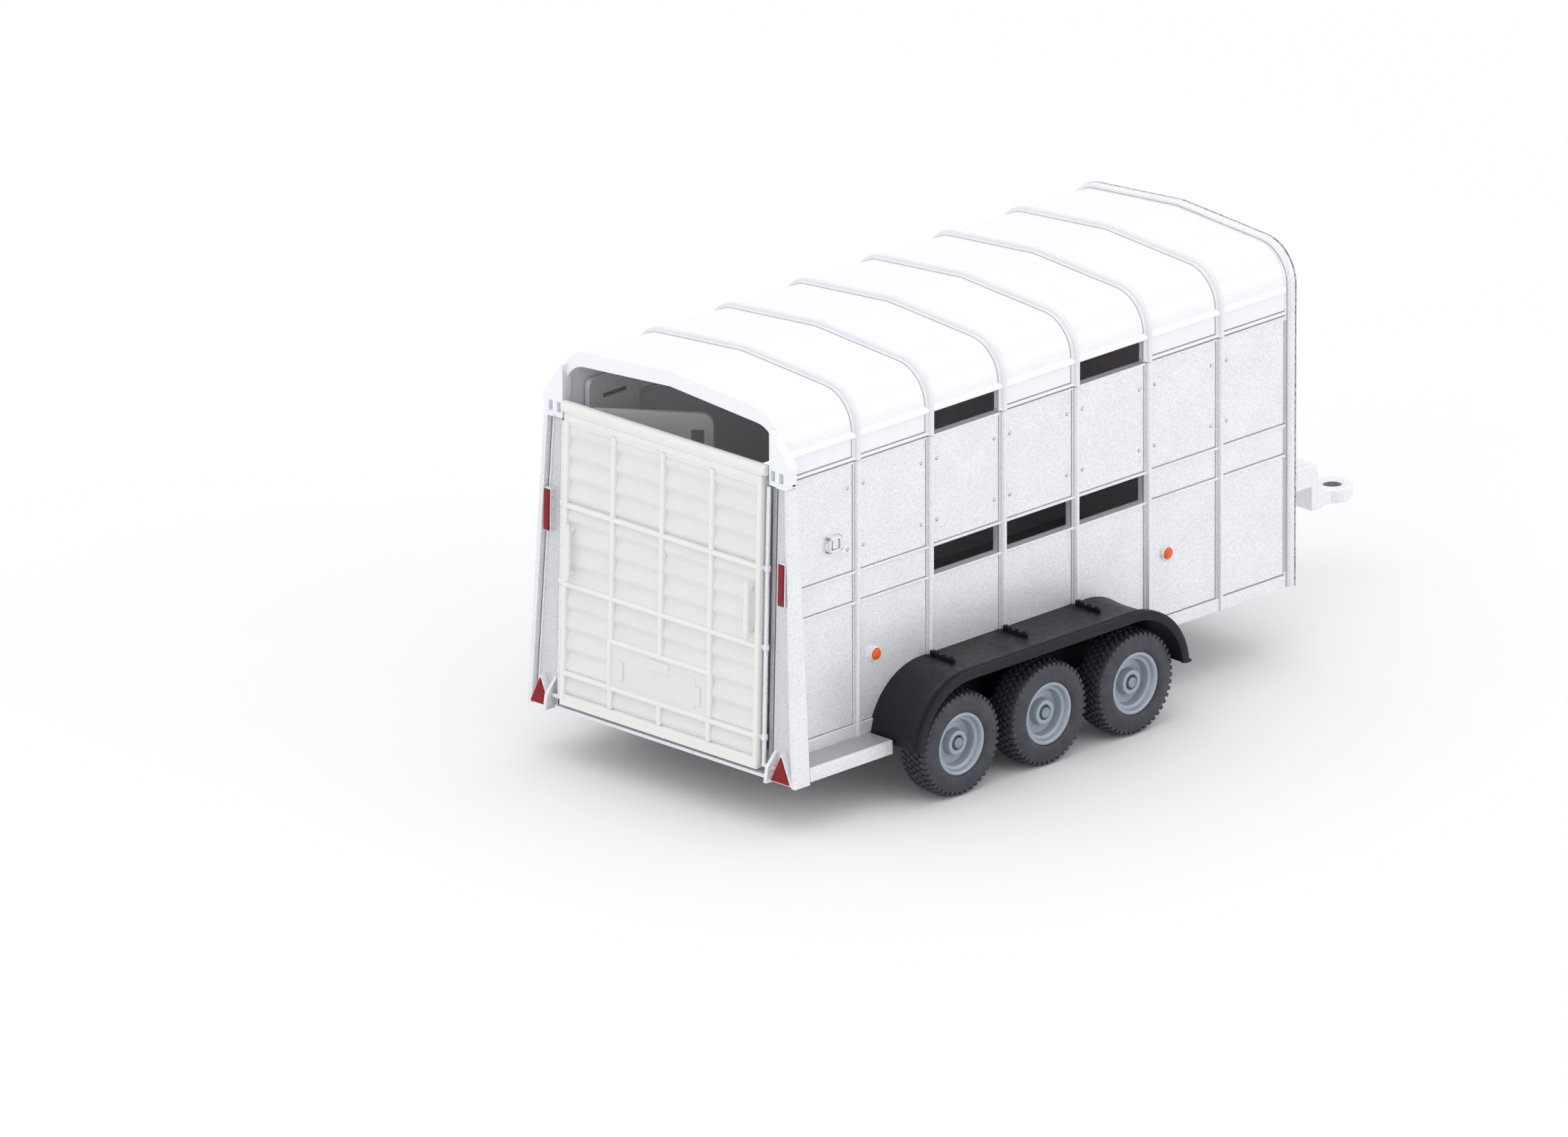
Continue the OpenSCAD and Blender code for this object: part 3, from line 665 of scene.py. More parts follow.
    def piece(self, name, material, body="trailer", slot=None, stands_for=(), side=LEFT):
        """The finished object, riding on its body; side turns a left shape into a right one."""
        mesh = (self if side == LEFT else self.mirrored()).mesh(name)
        mesh.materials.append(FINISHES[material])
        mesh.shade_smooth()
        mesh.set_sharp_from_angle(angle=ROUND_ANGLE)
        carrier = bpy.data.objects.new(name, mesh)
        bpy.context.scene.collection.objects.link(carrier)
        weights = carrier.modifiers.new("even shading", "WEIGHTED_NORMAL")
        weights.keep_sharp = True
        done = settled(carrier)
        carrier.modifiers.clear()
        carrier.data = done
        done.name = name
        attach(carrier, body)
        if stands_for:
            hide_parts(*stands_for)
        return carrier


def on_both_sides(*parts):
    """Pieces with the same shape on both sides, from (shape, name, material, slot, CAD node)."""
    for side_name, side in SIDES.items():
        for shape, name, material, slot, node in parts:
            nodes = [f"{node}_{side_name}"] if node else ()
            shape.piece(f"{name}_{side_name}", material, slot=slot, stands_for=nodes, side=side)


# ---------- the body's outline ----------

ARC_STEPS = 16


def shoulder(grow):
    r = SHOULDER_R + grow
    turn = math.pi / 2 - SLOPE
    angles = [turn * i / ARC_STEPS for i in range(ARC_STEPS + 1)]
    y, z = HALF_WIDTH - SHOULDER_R, SIDE_TOP + SHOULDER_RISE
    return [(y + r * math.cos(a), z + r * math.sin(a)) for a in angles]


def ridge(grow):
    r = SHOULDER_R + grow
    run = HALF_WIDTH - SHOULDER_R + r * math.sin(SLOPE)
    return 0.0, SIDE_TOP + SHOULDER_RISE + r * math.cos(SLOPE) + run * math.tan(SLOPE)


def section(grow, heights):
    """The body's outline from left to right, grown outwards; its lower points have these heights."""
    half = [(HALF_WIDTH + grow, z) for z in heights] + shoulder(grow)
    (y, z), top = half[-1], ridge(grow)
    half += [((1 - t) * y, z + t * (top[1] - z)) for t in (0.33, 0.66, 0.9)]
    return half + [top] + [(-y, z) for y, z in reversed(half)]


def bead_profile(width, relief):
    """Bead with a low flange behind it and a steep front side, as (across, outwards)."""
    line = [(-FLANGE, -0.3), (-FLANGE, 0.24), (-0.5, 0.3), (-0.26, 0.3), (-0.2, 0.36), (-0.14, 0.78),
            (-0.04, 0.96), (0.1, 1.0), (0.28, 1.0), (0.4, 0.92), (0.48, 0.7), (0.5, 0.1), (0.5, -0.3)]
    return [(a * width, b * relief if b > 0 else b) for a, b in line]


def rib_x(k):
    return k * BAY


# ---------- side panels ----------


def side_panels():
    """The wall with its slots, rails, skirt and ribs, the painted shadow lines beside them, and painted
    shade on the ribs' rear flanks.
    """
    face, root = HALF_WIDTH + SHADOW_RELIEF, HALF_WIDTH - ROOT
    panels = Shape()
    ends = [(rib_x(b - 1) + RIB_WIDTH / 2, rib_x(b) - RIB_WIDTH / 2) for b in SLOT_BAYS]
    xs = [WALL_REAR, *(x for pair in ends for x in pair), WALL_FRONT]
    zs = [BODY_BASE, BAND_LOW + RAIL / 2, BAND_HIGH - RAIL / 2, SIDE_TOP]
    panels.shell(xs, [(HALF_WIDTH, z) for z in zs], [(HALF_INSIDE, z) for z in zs],
                 lambda i, j: j == 1 and i % 2 == 1)
    for low, high, out, radius in (
            (BAND_LOW - RAIL / 2, BAND_LOW + RAIL / 2, RAIL_RELIEF, 0.1),
            (BAND_HIGH - RAIL / 2, BAND_HIGH + RAIL / 2, RAIL_RELIEF, 0.1),
            (SIDE_TOP - RAIL, SIDE_TOP, 0.22, 0.1),
            (BODY_BASE, BODY_BASE + SKIRT, RAIL_RELIEF, 0.16)):
        panels.block((WALL_REAR, HALF_WIDTH - 0.3, low), (WALL_FRONT, HALF_WIDTH + out, high), radius)
    outline = [(rib_x(1) + a, HALF_WIDTH + b) for a, b in bead_profile(RIB_WIDTH, BEAD_RELIEF)]
    panels.every_bay(Shape().prism(outline, "z", BODY_BASE, SIDE_TOP, 0.1, 1))

    # Painted shadow: dark grey strips at the ribs' feet, under and over the rails, above the skirt and at
    # the rear edge.
    shadow_lines, stripes, x = Shape(), Shape(), rib_x(1)
    for x0, x1 in ((x - FLANGE * RIB_WIDTH - 0.12, x), (x, x + 0.5 * RIB_WIDTH + SHADOW_WIDTH)):
        stripes.strip((x0, root, BODY_BASE + SKIRT), (x1, face, SIDE_TOP - RAIL))
    shadow_lines.every_bay(stripes, "seam_grey")
    edges = [WALL_REAR, *(rib_x(k) for k in range(1, BAYS)), WALL_FRONT]
    reach = RAIL / 2 + SHADOW_WIDTH * 0.7
    for z, below, above in ((BAND_LOW, reach, 0), (BAND_HIGH, 0, reach)):
        for bay, (x0, x1) in enumerate(zip(edges, edges[1:]), 1):
            down, up = (below, above) if bay in SLOT_BAYS else (reach, reach)
            shadow_lines.strip((x0, root, z - down), (x1, face, z + up))
    shadow_lines.strip((WALL_REAR, root, BODY_BASE + SKIRT - 0.1), (WALL_FRONT, face, BODY_BASE + SKIRT + SHADOW_WIDTH))
    shadow_lines.strip((WALL_REAR, root, BODY_BASE + 3), (WALL_REAR + 0.35, face, SIDE_TOP - 1))

    # Painted shade: lighter grey strips on the ribs' rear flanks and at the front edge.
    shade_strip = Shape().strip((x - 0.4 * RIB_WIDTH, HALF_WIDTH, BODY_BASE + 0.3),
                          (x - 0.15 * RIB_WIDTH, HALF_WIDTH + 0.3 * BEAD_RELIEF + 0.04, SIDE_TOP - 0.05))
    shade_strips = Shape().every_bay(shade_strip, "seam_light")
    shade_strips.strip((WALL_FRONT - 0.3, root, BODY_BASE + 3), (WALL_FRONT + 0.5, face, SIDE_TOP - 1))
    on_both_sides(
        (panels, "side_panel", "panel_silver", "silver_paint", "side_wall"),
        (shadow_lines, "panel_shadow_lines", "seam_grey", "silver_paint", None),
        (shade_strips, "rib_flank_shading", "seam_light", "silver_paint", None))


side_panels()


def rivets():
    """Small domed rivet heads in rows beside the ribs, each ringed at its foot by a painted shadow."""
    heads, rivet_shadows = Shape(), Shape()
    dome = [(0.1, 0.24), (0.18, 0.18), (0.23, 0.06), (0.24, -0.1)]
    shadow_ring = [(r, HALF_WIDTH + y) for r, y in ((0.05, -0.1), (0.05, 0.03), (0.33, 0.03), (0.33, -0.1))]
    for z in RIVET_HEIGHTS:
        for x in (rib_x(1) - RIVET_ASIDE, rib_x(1) + RIVET_ASIDE):
            heads.every_bay(Shape().domed(dome, x, z, 10))
            rivet_shadows.every_bay(Shape().turned(shadow_ring, x + 0.05, z - 0.06, 12), "seam_dark")
        heads.domed(dome, BODY_LENGTH - 3.2, z, 10)
    heads.both().piece("panel_rivet_heads", "pale_silver", "trailer", "silver_paint", ["panel_rivets"])
    rivet_shadows.both().piece("rivet_shadow_rings", "seam_dark", "trailer", "silver_paint")


rivets()


def socket():
    """Cast socket on the rearmost right panel: a rounded frame round a raised block."""
    low, high = box_mm("side_socket")
    x0, x1, z0, z1 = low.x - SHIFT, high.x - SHIFT, low.z, high.z
    wall = 0.6
    cast = Shape()
    for xa, za, xb, zb, out, radius in (
            (x0, z0, x0 + wall, z1, 1, 0.22), (x1 - wall, z0, x1, z1, 1, 0.22),
            (x0, z0, x1, z0 + wall, 1, 0.22), (x0, z1 - wall, x1, z1, 1, 0.22),
            (x0 + 0.9, z0 + 0.75, x1 - 1.1, z1 - 0.55, 1, 0.2),
            (x0 - 0.5, z0 + 0.9, x0 + 0.2, z1 - 0.9, 0.6, 0.2),
            (x1 - 0.2, z0 + 0.3, x1 + 0.3, z1 - 0.3, 0.5, 0.18)):
        cast.block((xa, HALF_WIDTH - 0.1, za), (xb, HALF_WIDTH + out, zb), radius)
    cast.piece("cast_socket", "silver_paint", stands_for=["side_socket"], side=RIGHT)


socket()

# ---------- roof, arch and front ----------


def roof():
    """The skin with its windows, drip rails and hoops, with painted shadow lines under and over the drip
    rails and painted shade at the hoops' feet.
    """
    ends = [(rib_x(b - 1) + HOOP_WIDTH / 2, rib_x(b) - HOOP_WIDTH / 2) for b in WINDOW_BAYS]
    xs = [WALL_REAR, *(x for pair in ends for x in pair), WALL_FRONT]
    closed = list(zip(xs[::2], xs[1::2]))
    base, lip = SIDE_TOP + ROOF_GAP, SIDE_TOP + ROOF_BAND
    outer, inner = (section(g, (base, lip)) for g in (0, -ROOF_WALL))
    skin = Shape().shell(xs, outer, inner, lambda i, j: i in (1, 3) and j in (0, len(outer) - 2))
    drip = [(HALF_WIDTH + y, lip + z) for y, z in (
        (-0.3, 0), (0.4, 0), (0.55, 0.12), (0.52, 0.4), (0.05, 1.3), (-0.3, 1.3))]
    trim = Shape().prism(drip, "x", WALL_REAR, WALL_FRONT, 0.06)
    # Painted shadow: dark strips in the gap under the drip rail and along the line above it.
    rail_shadows = Shape()
    for x0, x1 in closed:
        trim.block((x0, HALF_WIDTH - 0.3, base), (x1, HALF_WIDTH + 0.45, base + 0.55), 0.16)
        trim.block((x0, HALF_WIDTH - ROOF_WALL, SIDE_TOP), (x1, HALF_WIDTH - 0.55, SIDE_TOP + 0.6), 0.05)
        rail_shadows.strip((x0, HALF_WIDTH - 0.5, SIDE_TOP - 0.05), (x1, HALF_WIDTH + 0.26, base + 0.02))
        rail_shadows.strip((x0, HALF_WIDTH - ROOT, base + 0.5), (x1, HALF_WIDTH + 0.04, base + 0.72))
    skin.join(trim.both()).piece("roof_skin", "roof_white", stands_for=["roof_shell"])

    bead = [(rib_x(1) + a, out) for a, out in bead_profile(HOOP_WIDTH, HOOP_RELIEF)]
    one = Shape().along_outline(bead, (SIDE_TOP + 0.12, SIDE_TOP + 2))
    hoops = Shape().every_bay(one, "hoop_white")
    hoops.piece("roof_hoops", "hoop_white", "trailer", "roof_white", ["roof_shell"])

    # Painted shade: light grey strips along the hoops' feet.
    back, ahead = rib_x(1) - FLANGE * HOOP_WIDTH - 0.14, rib_x(1) + 0.5 * HOOP_WIDTH + 0.16
    line = [(back, -ROOT), (back, SHADOW_RELIEF), (ahead, SHADOW_RELIEF), (ahead, -ROOT)]
    shadow_lines = Shape().every_bay(Shape().along_outline(line, (SIDE_TOP + 0.3, SIDE_TOP + 2)), "seam_light")
    shadow_lines.piece("hoop_foot_shade", "seam_light", "trailer", "roof_white")
    rail_shadows.both().piece("roof_rail_shadows", "seam_grey", "trailer", "roof_white")


roof()


def rear_arch():
    """The arch plate with an ear at each side, which has two small windows over a ledge."""
    heights = (SIDE_TOP, SIDE_TOP + 2)
    widen = (HALF_WIDTH - ARCH_LEG) / (HALF_WIDTH - ARCH_DEPTH)
    opening = [(y * widen, z) for y, z in section(-ARCH_DEPTH, heights)]
    arch = Shape().shell([ARCH_REAR, WALL_REAR - 0.25], section(0.6, heights), opening)
    arch.shell([WALL_REAR - 0.4, WALL_REAR], section(0.25, heights), opening)
    rear, inner = -1.6, HALF_WIDTH - 1.6
    ledge, sill, crown = SIDE_TOP + 0.95, SIDE_TOP + 2.85, SIDE_TOP + 10.3
    ear = [(inner, sill), (HALF_WIDTH + 3.4, sill), (HALF_WIDTH + 3.6, SIDE_TOP + 4.1),
           (HALF_WIDTH - 1.1, crown), (inner, crown)]
    ears = Shape().prism(ear, "x", rear, WALL_REAR, 0.18)
    ears.block((rear, inner, SIDE_TOP), (WALL_REAR, HALF_WIDTH + 3, ledge), 0.18)
    for y0, y1 in ((-1.6, -1.1), (-0.1, 1.0), (2.0, 3.2)):
        ears.block((rear, HALF_WIDTH + y0, ledge - 0.2), (WALL_REAR, HALF_WIDTH + y1, sill + 0.2), 0.14)
    ears.block((rear + 1.2, inner, SIDE_TOP + 0.3), (WALL_REAR, HALF_WIDTH + 3, sill + 0.3), 0.1)
    ears.block((rear - 0.35, HALF_WIDTH + 0.4, SIDE_TOP), (0, HALF_WIDTH + 3.1, SIDE_TOP + 0.6), 0.16)
    arch.join(ears.both()).piece("arch_plate", "roof_white", stands_for=["rear_arch"])
    # Painted shadow: a dark grey band in the joint between the arch plate and the roof.
    over, under = (section(g, (SIDE_TOP + 0.8, SIDE_TOP + 2)) for g in (0.08, -0.3))
    shadow_band = Shape().shell([WALL_REAR - 0.1, WALL_REAR + 0.16], over, under)
    shadow_band.piece("arch_shadow_line", "seam_grey", "trailer", "roof_white")


rear_arch()


def front_end():
    """The hoop round the front edge with its rubbed corner, and the front panel."""
    x0, x1 = front_low.x - SHIFT, front_high.x - SHIFT
    heights = (BODY_BASE, BODY_BASE + 30, SIDE_TOP)
    profile = [(x0, -0.2), (x0, 0.1), (x0 + 0.12, 0.34), (x0 + 0.42, 0.66), (x0 + 0.7, HOOP_RELIEF),
               (x1 - 0.1, HOOP_RELIEF), (x1, HOOP_RELIEF - 0.12), (x1, -0.2)]
    edge = Shape().along_outline(profile, heights)
    edge.piece("front_edge_hoop", "silver_paint", stands_for=["front_hoop"])
    over, under = (section(HOOP_RELIEF + g, heights) for g in (0.03, -0.3))
    wear = Shape().shell([x1 - 0.5, x1 + 0.03], over, under)
    wear.piece("front_edge_wear", "worn_silver", "trailer", "silver_paint")
    # Painted shadow: a dark grey band at the rear foot of the front hoop.
    over, under = (section(g, heights) for g in (SHADOW_RELIEF, -ROOT))
    shadow_band = Shape().shell([x0 - 0.16, x0 + 0.1], over, under)
    shadow_band.piece("front_hoop_shadow_line", "seam_grey", "trailer", "silver_paint")
    Shape().cad("front_wall", 0.18).piece(
        "front_panel", "panel_silver", "trailer", "silver_paint", ["front_wall"])


front_end()

# ---------- CAD shapes with rounded edges ----------

ROUNDED_NODES = (
    ("floor", "floor_plate", "dark_grey_plastic", 0.12),
    ("rear_sill", "rear_lip", "silver_paint", 0.12),
    ("hinge_bracket_right", "hinge_ear_right", "silver_paint", 0.12),
    ("hinge_bracket_left", "hinge_ear_left", "silver_paint", 0.12),
    ("gate_lugs", "gate_pin_lugs", "silver_paint", 0.1),
    ("roof_tabs", "locating_tabs", "silver_paint", 0.18),
    ("drawbar_right", "drawbar_leg_right", "pale_silver", 0.35),
    ("drawbar_left", "drawbar_leg_left", "pale_silver", 0.35),
    ("step_right", "rear_step_right", "silver_paint", 0.22),
    ("step_left", "rear_step_left", "silver_paint", 0.22),
)
for node, piece_name, material, radius in ROUNDED_NODES:
    Shape().cad(node, radius).piece(piece_name, material, stands_for=[node])
for side_name in SIDES:
    gate_name = f"inner_gate_{side_name}"
    Shape().cad(gate_name, 0.14).piece(
        f"half_gate_{side_name}", "ivory_plastic", gate_name, stands_for=[gate_name])


def corner_posts():
    """The CAD posts, each with a stop for the tailgate, a groove and a ridge, painted shadow lines along
    the groove and a darker silver face of painted shade; and the axle carriers.
    """

    def bar(foot, head, section_at):
        """A bar up the post's face; section_at gives its (x, y) for the post's outer edge."""
        ends = ((foot, POST_EDGE), (head, POST_EDGE - POST_TAPER))
        return Shape(LEANING).loft([[(x, y, z) for x, y in section_at(edge)] for z, edge in ends])

    def flat(x0, x1, y0, y1):
        return [(x0, y0), (x1, y0), (x1, y1), (x0, y1)]

    crest = POST_FACE - 0.28
    stop = bar(POST_FOOT, POST_HEAD, lambda edge: [
        (1.1, edge - 2.09), (crest, edge - 1.988), (crest, edge - 1.784), (1.1, edge - 1.75)])
    stop.block((1.75, HALF_WIDTH - 2.4, 0.6), (2.4, HALF_WIDTH - 0.2, POST_HEAD), 0.1)
    stop.block((POST_FACE, HALF_WIDTH - 0.35, POST_FOOT), (1.9, HALF_WIDTH + 0.8, POST_HEAD), 0.12)
    # Painted shadow: dark strips along the post's groove and beside the tailgate stop.
    shadow_band = bar(POST_FOOT + 0.1, POST_HEAD - 0.1,
               lambda edge: flat(1.2, POST_FACE - 0.04, edge - 1.32, edge - 1.05))
    shadow_band.strip((0.95, HALF_WIDTH - 0.62, POST_FOOT + 0.3), (1.6, HALF_WIDTH - 0.3, POST_HEAD - 0.1))
    # Painted shade: a darker silver face laid over the post's rear face.
    face = bar(POST_FOOT + 0.1, POST_HEAD - 0.3,
               lambda edge: flat(1.0, POST_FACE - 0.05, HALF_WIDTH - 0.1, edge - 1.9))
    for name, side in SIDES.items():
        post = Shape().cad(f"rear_post_{name}", 0.16).join(stop if side == LEFT else stop.mirrored())
        post.piece(f"corner_post_{name}", "silver_paint", stands_for=[f"rear_post_{name}"])
        shadow_band.piece(f"post_shadow_lines_{name}", "seam_dark", slot="silver_paint", side=side)
        face.piece(f"shaded_post_face_{name}", "post_silver", slot="silver_paint", side=side)
        rail_name = f"axle_rail_{name}"
        Shape().cad(rail_name, 0.2).piece(
            f"axle_carrier_{name}", "matte_black", slot="dark_grey_plastic", stands_for=[rail_name])


corner_posts()


def step_treads():
    """Darker silver tread on top of each rear step."""
    low, high = box_mm("step_left")
    tread = Shape().block((low.x - SHIFT + 0.35, low.y, high.z - 0.2),
                          (high.x - SHIFT - 0.1, high.y - 0.45, high.z + 0.06), 0.05)
    tread.both().piece("step_treads", "step_tread", "trailer", "silver_paint")


step_treads()

# ---------- coupling ----------


def coupling():
    """A cranked block that narrows to a waist before its ring, with a sleeve of painted shade in the hole.
    """
    x = box_mm("coupling_head")[1].x - SHIFT - EYE_OUTER
    eye, low, high = BODY_BASE + 0.2, BODY_BASE + 5.2, BODY_BASE + 9.6
    rear = x - 13.5
    head = Shape().prism(
        [(rear, low), (rear + 4.4, low), (rear + 4.4, eye + 0.3), (rear + 7.2, eye + 0.1),
         (rear + 7.4, eye + 3.6), (rear + 6.9, eye + 5.0), (rear + 5.6, high), (rear, high)],
        "y", -3.4, 3.4, 0.3, segments=3)
    waist = [(rear + 5.5, 3.3), (rear + 7.6, 3.1), (rear + 9.0, 2.4), (x - 2.4, 2.6)]
    head.prism([(a, -b) for a, b in waist] + waist[::-1], "z", eye + 0.1, eye + 2.7, 0.25, segments=3)
    ring = [(EYE_R, 0.35), (2.0, 0.05), (3.5, 0), (3.85, 0.3), (EYE_OUTER, 1.2), (3.76, 1.4),
            (EYE_OUTER, 1.6), (3.85, 2.5), (3.5, EYE_TALL), (2.1, EYE_TALL), (EYE_R, 2.5)]
    head.standing_ring([(r, eye + z) for r, z in ring], x, 64)
    head.block((rear + 0.4, -3.55, low + 1.2), (rear + 3.9, 3.55, high - 0.7), 0.2)
    head.piece("towing_head", "pale_silver", stands_for=["coupling_head"])
    # Painted shade: a dark grey sleeve on the wall of the eye's hole.
    wall = [(EYE_R + 0.1, 0.1), (EYE_R - 0.02, 0.1), (EYE_R - 0.02, 2.45), (EYE_R + 0.1, 2.45)]
    eye_hole_shade = Shape().standing_ring([(r, eye + z) for r, z in wall], x, 40)
    eye_hole_shade.piece("towing_eye_shade", "seam_grey", "trailer", "pale_silver")


coupling()

# ---------- mudguards ----------


def guard_path(steps=22, straight=12):
    """Points (x, z, nx, nz) of the mudguard's outer line with their outward directions, rear to front."""
    foot = math.asin((GUARD_BASE - WHEEL_Z) / GUARD_R)
    turn = math.pi / 2 - foot

    def bend(x, start):
        path = []
        for i in range(steps + 1):
            a = start - turn * i / steps
            nx, nz = math.cos(a), math.sin(a)
            path.append((x + GUARD_R * nx, WHEEL_Z + GUARD_R * nz, nx, nz))
        return path

    run = GUARD_FRONT_X - GUARD_REAR_X
    level = [(GUARD_REAR_X + run * i / straight, WHEEL_Z + GUARD_R, 0, 1) for i in range(1, straight)]
    return bend(GUARD_REAR_X, math.pi - foot) + level + bend(GUARD_FRONT_X, math.pi / 2)


def mudguards():
    """One long guard with a rolled outer edge, a black sheet of painted shade on the wall behind the
    wheels, and top ridges.
    """
    root, outer = HALF_WIDTH + 0.02, GUARD_OUTER
    profile = [(root, -0.1), (root + 1.2, -0.28), (root + 4, -0.42), (root + 8, -0.40)]
    profile += [(outer - a, n) for a, n in (
        (3.2, -0.25), (2.3, -0.05), (1.95, 0.22), (1.6, 0.32), (1.25, 0.22), (1.05, -0.02),
        (0.85, -0.02), (0.68, 0.22), (0.45, 0.35), (0.2, 0.32), (0.04, 0.12), (0, -0.2),
        (0, -1.25), (0.12, -1.45), (0.5, -1.5), (0.7, -1.4), (0.78, -GUARD_WALL - 0.05), (2, -GUARD_WALL))]
    profile.append((root, -GUARD_WALL))
    guard = Shape().loft([[(x + n * nx, y, z + n * nz) for y, n in profile]
                          for x, z, nx, nz in guard_path()])
    toe = GUARD_FRONT_X + GUARD_R
    guard.block((toe - GUARD_WALL, root + 2, GUARD_BASE - 0.4), (toe + 0.75, outer, GUARD_BASE + 0.22),
                0.22, 3)
    # Painted shade: a black sheet over the silver wall inside the guard's arch.
    under = 0.1 - GUARD_WALL
    arc = [(x + under * nx, z + under * nz) for x, z, nx, nz in guard_path()]
    shadow_sheet = Shape().prism(arc, "y", HALF_WIDTH - 0.1, HALF_WIDTH + BEAD_RELIEF + 0.2, 0.1, 1)

    x, y, top = rib_x(2), HALF_WIDTH + 0.6, WHEEL_Z + GUARD_R
    ridge_one = Shape().block((x - 0.32, y, top - 0.6), (x + 0.32, y + 5.9, top + 0.32), 0.14)
    for along in (1.3, 3.2, 5.1):
        ridge_one.rod((x, y + along, top - 0.5), (x, y + along, top + 0.72), 0.46, 0.2, 12)
    ridge_one.block((x - 0.5, y, top - 0.6), (x + 0.5, y + 0.9, top + 0.7), 0.18)
    ridges = Shape().copies(ridge_one, ROW, "matte_black", Count=3, Step=(BAY * MM, 0, 0))
    on_both_sides(
        (guard, "guard", "matte_black", None, "mudguard"),
        (shadow_sheet, "guard_shadow_sheet", "matte_black", None, None),
        (ridges, "guard_top_ridges", "matte_black", None, "guard_ridges"))


mudguards()

# ---------- wheels ----------


def tyre_profile():
    """Closed (radius, y) profile, with y = 0 at the outer side and the bead on the rim."""
    half = [(RIM_R + r, y) for r, y in (
        (-0.47, -1.0), (0.03, -0.98), (0.03, -0.42), (0.12, -0.28), (0.32, -0.2), (0.42, -0.1),
        (0.75, -0.02), (1.3, 0.0), (1.9, -0.03), (2.5, -0.13), (3.0, -0.3), (3.3, -0.52))]
    half += [(TYRE_R - 0.5, -0.85), (TYRE_R - 0.42, -1.3)]
    other = [(r, -TYRE_WIDTH - y) for r, y in reversed(half)]
    other[-1] = (RIM_R - 0.47, -TYRE_WIDTH + 1.1)
    return half + other


def tread_rows():
    """Rows of blocks: start y, end y, lean towards the next block, turn within a pitch, on a shoulder."""
    w = TYRE_WIDTH
    return ((-0.3, -1.75, 0.0, 0.0, True), (-1.95, -2.95, 0.32, 0.5, False),
            (-3.1, -w / 2 - 0.45, -0.32, 0.0, False), (-w / 2 - 0.6, -w + 2.0, 0.32, 0.5, False),
            (-w + 0.42, -w + 1.75, 0.0, 0.0, True))


def tread_block(y0, y1, skew, shoulder_block):
    """A block of tread at the top of the tyre; a shoulder block's first end reaches down the sidewall."""
    half = 2 * math.pi * TYRE_R / TREAD_BLOCKS * 0.31
    root, crown = TYRE_R - 0.62, TYRE_R
    drop, reach = (0.34, 0.85) if shoulder_block else (0.05, 0)
    bm = bmesh.new()
    ends = []
    for y, x, low, high in ((y0, -skew / 2, root - reach, crown - drop),
                            (y1, skew / 2, root, crown - 0.03)):
        corners = ((-half, low), (half, low), (half * 0.84, high), (-half * 0.84, high))
        ends.append([bm.verts.new((x + across, y, z)) for across, z in corners])
    a, b = ends
    bm.faces.new(a)
    bm.faces.new(b[::-1])
    for i in range(4):
        j = (i + 1) % 4
        bm.faces.new((a[j], a[i], b[i], b[j]))
    rounded(bm, 0.07, 1)
    return Shape().take(bm)


def tyre(x):
    """A smooth carcass with five rows of tread blocks round it."""
    centre = ((x + SHIFT) * MM, 0, WHEEL_Z * MM)
    rubber = Shape().turned([(r, TYRE_OUTER + y) for r, y in tyre_profile()], x, WHEEL_Z)
    for y0, y1, skew, turn, shoulder_block in tread_rows():
        block = tread_block(TYRE_OUTER + y0, TYRE_OUTER + y1, skew, shoulder_block)
        rubber.copies(block, RING, "tyre_rubber", shifted=False, Count=TREAD_BLOCKS, Centre=centre,
                      Start_Angle=turn * 2 * math.pi / TREAD_BLOCKS)
    return rubber


def rim(x):
    """Hub, dished disc and stepped rim in one turned profile."""
    bore, r = AXLE_R + 0.02, RIM_R
    profile = [
        (bore, -2.3), (1.4, -2.3), (1.42, -1.1), (1.5, -0.98), (1.62, -0.92), (2.1, -0.92), (2.26, -1.0),
        (2.34, -1.16), (2.46, -2.3), (2.56, -2.54), (2.75, -2.64), (r - 2.0, -2.64), (r - 1.8, -2.58),
        (r - 1.68, -2.3), (r - 1.58, -1.3), (r - 1.5, -1.14), (r - 1.36, -1.08), (r - 1.08, -1.06),
        (r - 0.98, -1.0), (r - 0.9, -0.84), (r - 0.76, -0.22), (r - 0.62, -0.06), (r - 0.46, 0.0),
        (r - 0.16, 0.0), (r - 0.04, -0.08), (r, -0.22), (r, -0.58), (r - 0.5, -0.6), (r - 0.5, -5.6),
        (r - 1.6, -5.6), (r - 1.6, -3.6), (2.2, -3.6), (2.2, -4), (bore, -4),
    ]
    return Shape().turned([(a, RIM_OUTER + y) for a, y in profile], x, WHEEL_Z)


for axle, place in AXLES.items():
    middle, wheels = WHEEL_MIDDLE + place * AXLE_PITCH, f"wheels_{axle}"
    for side_name, side in SIDES.items():
        place_name = f"{axle}_{side_name}"
        tyre(middle).piece(f"tread_tyre_{place_name}", "tyre_rubber", wheels,
                           stands_for=[f"tyre_{place_name}"], side=side)
        rim(middle).piece(f"rim_disc_{place_name}", "rim_grey", wheels,
                          stands_for=[f"rim_{place_name}"], side=side)
    Shape().cad(f"axle_{axle}", 0.14, 3).piece(
        f"axle_rod_{axle}", "axle_steel", wheels, stands_for=[f"axle_{axle}"])

# ---------- tailgate ----------

TAIL_FACE = SHEET_REAR - 1.1


def up_the_gate(pitch):
    return tuple(LEANING.to_3x3() @ Vector((0, 0, pitch)) * MM)


